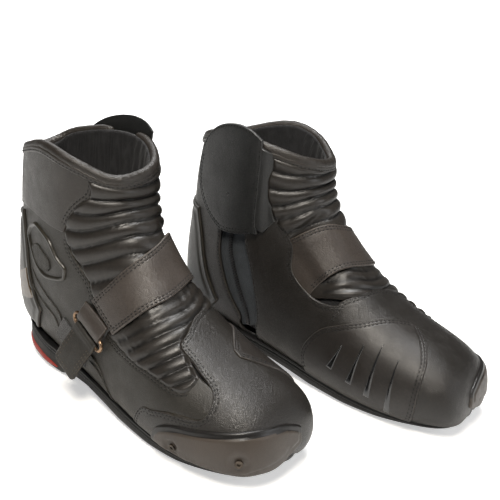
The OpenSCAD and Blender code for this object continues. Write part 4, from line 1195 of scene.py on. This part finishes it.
def sole_outline(count=300):
    """Outline of the sole seen from above, the last at v = 4 and 8 widened by 3 mm, heel and toe rounded."""
    u = np.linspace(0.5, 10.0, 90)
    inner = last_at(np.stack([u, np.full(90, 4.0)], -1))[0][:, :2]
    v = np.linspace(4, 8, 24)
    heel = last_at(np.stack([np.full(24, 10.2), v], -1))[0][:, :2]
    outer = last_at(np.stack([u, np.full(90, 8.0)], -1))[0][:, :2]
    t = np.linspace(0.08, 0.92, 14)[:, None]
    ahead = (inner[0] + outer[0]) / 2 + np.array([0, -7.0])
    toe = (1 - t) ** 2 * outer[0] + 2 * t * (1 - t) * ahead + t**2 * inner[0]
    loop = np.concatenate([inner, heel, outer[::-1], toe])
    run = length_of(np.concatenate([loop, loop[:1]]))
    at = np.linspace(0, run[-1], count, endpoint=False)
    closed = np.concatenate([loop, loop[:1]])
    loop = np.stack([np.interp(at, run, closed[:, k]) for k in range(2)], -1)
    for _ in range(6):
        loop = (np.roll(loop, 1, 0) + 2 * loop + np.roll(loop, -1, 0)) / 4
    step = np.roll(loop, -1, 0) - np.roll(loop, 1, 0)
    side = np.stack([step[:, 1], -step[:, 0]], -1) / np.linalg.norm(step, axis=1, keepdims=True)
    if np.dot(side[0], loop[0] - loop.mean(axis=0)) < 0:
        side = -side
    return loop + 1.0 * side, side


PLAN, PLAN_SIDE = sole_outline()


def build_sole():
    """Welt under the sagging upper, tread below it and the red lens let into the heel."""
    forward = lambda y: REST_F - y
    low = lambda y: last_low(y) + 8 * ease((24 - forward(y)) / 30) ** 0.8
    narrow = lambda y: 5.5 * ease((52 - forward(y)) / 48) + 2.6 * ease((forward(y) - 225) / 60)
    lip = lambda y: np.maximum(low(y) + 0.4, ground(y) + 5.6)
    foot = lambda y: np.maximum(lip(y) - 4.6, ground(y) + 2.2)

    def stack(levels):
        rings = []
        for out, height in levels:
            xy = PLAN + (out - narrow(PLAN[:, 1]))[:, None] * PLAN_SIDE
            rings.append(np.concatenate([xy, height(xy[:, 1])[:, None]], axis=1))
        return loft(np.array(rings))

    mid_levels = [(-9, lambda y: low(y) - 0.8), (-4.5, lambda y: lip(y) + 1.6), (-1.4, lambda y: lip(y) + 0.9),
                  (0.2, lambda y: lip(y) + 0.3), (0.4, lambda y: lip(y) - 0.4), (-0.5, lambda y: lip(y) - 1.2),
                  (-1.3, lambda y: mix(lip(y), foot(y), 0.45)), (-1.3, lambda y: mix(lip(y), foot(y), 0.6)),
                  (-0.5, lambda y: mix(lip(y), foot(y), 0.75)), (-0.3, lambda y: mix(lip(y), foot(y), 0.9)),
                  (-0.6, foot), (-9, foot)]
    verts, faces = stack(mid_levels)
    for side in SIDES:
        add_mesh("midsole", side, verts, faces, WELT, "boot", ["midsole"],
                 {"edge": np.full(len(verts), 2.0)})
    g = lambda y: ground(y) + 1.6
    out_levels = [(-12, lambda y: foot(y) - 0.05), (-1.1, lambda y: foot(y) - 0.05),
                  (-0.7, lambda y: mix(foot(y), g(y), 0.15)), (-0.8, lambda y: mix(foot(y), g(y), 0.5)),
                  (-1.8, lambda y: mix(foot(y), g(y), 0.85)), (-3.4, g), (-12, g)]
    verts, faces = stack(out_levels)
    for side in SIDES:
        add_mesh("outsole", side, verts, faces, RUBBER, "boot", ["outsole"],
                 {"edge": np.full(len(verts), 2.0)})
    keep = [k for k in range(len(PLAN)) if forward(PLAN[k, 1]) < 64]
    start = next(i for i in range(len(keep)) if (keep[i] - keep[i - 1]) % len(PLAN) != 1)
    keep = keep[start:] + keep[:start]
    loops = []
    for k in keep:
        p, n = PLAN[k] - narrow(PLAN[k, 1]) * PLAN_SIDE[k], PLAN_SIDE[k]
        f = forward(p[1])
        lo, hi = np.interp(f, *WEDGE_LOW.T), np.interp(f, *WEDGE_TOP.T)
        end = ease((64 - f) / 14)
        lo, hi = mix((lo + hi) / 2 - 0.2, lo, end), mix((lo + hi) / 2 + 0.2, hi, end)
        loops.append([[*(p + o * n), mix(lo, hi, z)] for o, z in
                      ((-8, 0), (-1.4, 0), (-0.5, 0.12), (-0.05, 0.5), (-0.3, 0.88), (-1.2, 1), (-8, 1))])
    verts, faces = loft(np.array(loops))
    for side in SIDES:
        add_mesh("heel_insert", side, verts, faces, RED, "boot", ["heel_insert"],
                 {"edge": np.full(len(verts), 2.0)})


build_sole()


def tread():
    """Chevron bars under the sole, standing on the ground line."""
    verts, faces = [], []
    inner = PLAN - 10.0 * PLAN_SIDE
    ys = np.arange(inner[:, 1].min() + 9, inner[:, 1].max() - 8, 8.5)
    for y in ys:
        cols = []
        for q in np.linspace(-1, 1, 9):
            yc = y + 4.0 * abs(q)
            near = inner[np.argsort(np.abs(inner[:, 1] - yc))[:14]]
            left, right = near[:, 0].min(), near[:, 0].max()
            if right - left < 12:
                break
            cols.append((mix(left, right, (q + 1) / 2), yc))
        if len(cols) < 9:
            continue
        loops = []
        for x, yc in cols:
            loops.append([[x, yc - 2.8, ground(yc) + 2.2], [x, yc - 2.4, ground(yc) + 0.2], [x, yc - 1.9, ground(yc)],
                          [x, yc + 1.9, ground(yc)], [x, yc + 2.4, ground(yc) + 0.2], [x, yc + 2.8, ground(yc) + 2.2]])
        v, f = loft(np.array(loops, float))
        faces += [[i + len(verts) for i in face] for face in f]
        verts += list(v)
    for side in SIDES:
        add_mesh("outsole_lugs", side, verts, faces, RUBBER, "boot", (),
                 {"edge": np.full(len(verts), 2.0)}, flat=True)


tread()


def insole():
    """Soft footbed with a raised rim and a cupped heel."""
    u, v = np.linspace(1.4, 9.0, 90), np.linspace(4.7, 7.3, 30)
    g = np.stack(np.meshgrid(u, v, indexing="ij"), -1)
    side = np.abs(g[..., 1] - 6) / 1.3
    outer, inner = raised(g, -8.0 + 1.2 * side**2 * -1), raised(g, -4.6)
    verts, faces = close_grid(outer, inner)
    for s in SIDES:
        add_mesh("footbed", s, verts, faces, FOOTBED, "boot", ["footbed"])


insole()


# ------------------------------------------------------------------ floor, light and camera
def stage_set():
    me = bpy.data.meshes.new("floor")
    size, steps = 6.0, 2
    v = [(x, y, 0) for x in (-size, size) for y in (-size, size)]
    me.from_pydata(v, [], [(0, 1, 3, 2)])
    k = Nodes("floor_paper")
    paper = k.finish(k.blend(k.noise(60, 2), srgb(236, 236, 236), srgb(242, 242, 241)), 0.9)
    seen = k.add("ShaderNodeLightPath").outputs["Is Camera Ray"]
    k.put(k.bsdf.inputs["Emission Color"], (1, 1, 1, 1))
    away = k.add("ShaderNodeVectorMath", operation="LENGTH")
    k.put(away.inputs[0], k.where)
    k.put(k.bsdf.inputs["Emission Strength"], k.calc("MULTIPLY", seen, k.ramp(away.outputs["Value"], 0.35, 1.3, 0.5, 1.0)))
    me.materials.append(paper)
    floor = bpy.data.objects.new("floor", me)
    bpy.context.scene.collection.objects.link(floor)
    floor.location.z = -0.0006
    world = bpy.data.worlds.new("studio")
    bpy.context.scene.world = world
    world.use_nodes = True
    tree = world.node_tree
    strength = tree.nodes.new("ShaderNodeMapRange")
    tree.links.new(tree.nodes.new("ShaderNodeLightPath").outputs["Is Camera Ray"], strength.inputs["Value"])
    strength.inputs["To Min"].default_value, strength.inputs["To Max"].default_value = 0.13, 1.0
    background = tree.nodes["Background"]
    background.inputs["Color"].default_value = (1, 1, 1, 1)
    tree.links.new(strength.outputs[0], background.inputs["Strength"])


def lamp(name, spot, aim, size, power, color=(1, 1, 1)):
    data = bpy.data.lights.new(name, "AREA")
    data.shape, data.size, data.energy, data.color = "DISK", size, power, color
    ob = bpy.data.objects.new(name, data)
    bpy.context.scene.collection.objects.link(ob)
    ob.location = spot
    ob.rotation_euler = (Vector(aim) - Vector(spot)).to_track_quat("-Z", "Y").to_euler()


CENTRE = np.mean(np.array(CAD_BOX), axis=0)
AZ, EL, DISTANCE, ROLL = math.radians(-51.42), math.radians(21.75), 0.83324, math.radians(4.9)


def camera():
    target = Vector(CENTRE + np.array(LOOK_SHIFT))
    back = Vector((math.sin(AZ) * math.cos(EL), -math.cos(AZ) * math.cos(EL), math.sin(EL)))
    right = Vector((0, 0, 1)).cross(back).normalized()
    up = back.cross(right)
    r2 = right * math.cos(ROLL) + up * math.sin(ROLL)
    u2 = up * math.cos(ROLL) - right * math.sin(ROLL)
    data = bpy.data.cameras.new("photo_view")
    data.lens, data.sensor_width, data.clip_start = 61.28, 36.0, 0.01
    cam = bpy.data.objects.new("photo_view", data)
    cam.matrix_world = Matrix((r2, u2, back)).transposed().to_4x4()
    cam.location = target + back * DISTANCE
    bpy.context.scene.collection.objects.link(cam)
    bpy.context.scene.camera = cam


LOOK_SHIFT = (0.1462 - CENTRE[0], -0.1075 - CENTRE[1], 0.0991 - CENTRE[2])
stage_set()
camera()
mid = CENTRE
lamp("key", mid + np.array([-0.75, -0.35, 1.25]), mid, 0.55, 22, (1.0, 0.94, 0.85))
lamp("top", mid + np.array([0.25, 0.1, 1.5]), mid, 0.6, 20)
lamp("fill", mid + np.array([0.4, -1.3, 0.55]), mid, 0.9, 5, (0.97, 0.98, 1.0))
lamp("back", mid + np.array([0.6, 1.1, 0.9]), mid, 0.9, 6)
bpy.context.scene.view_settings.view_transform = "Standard"
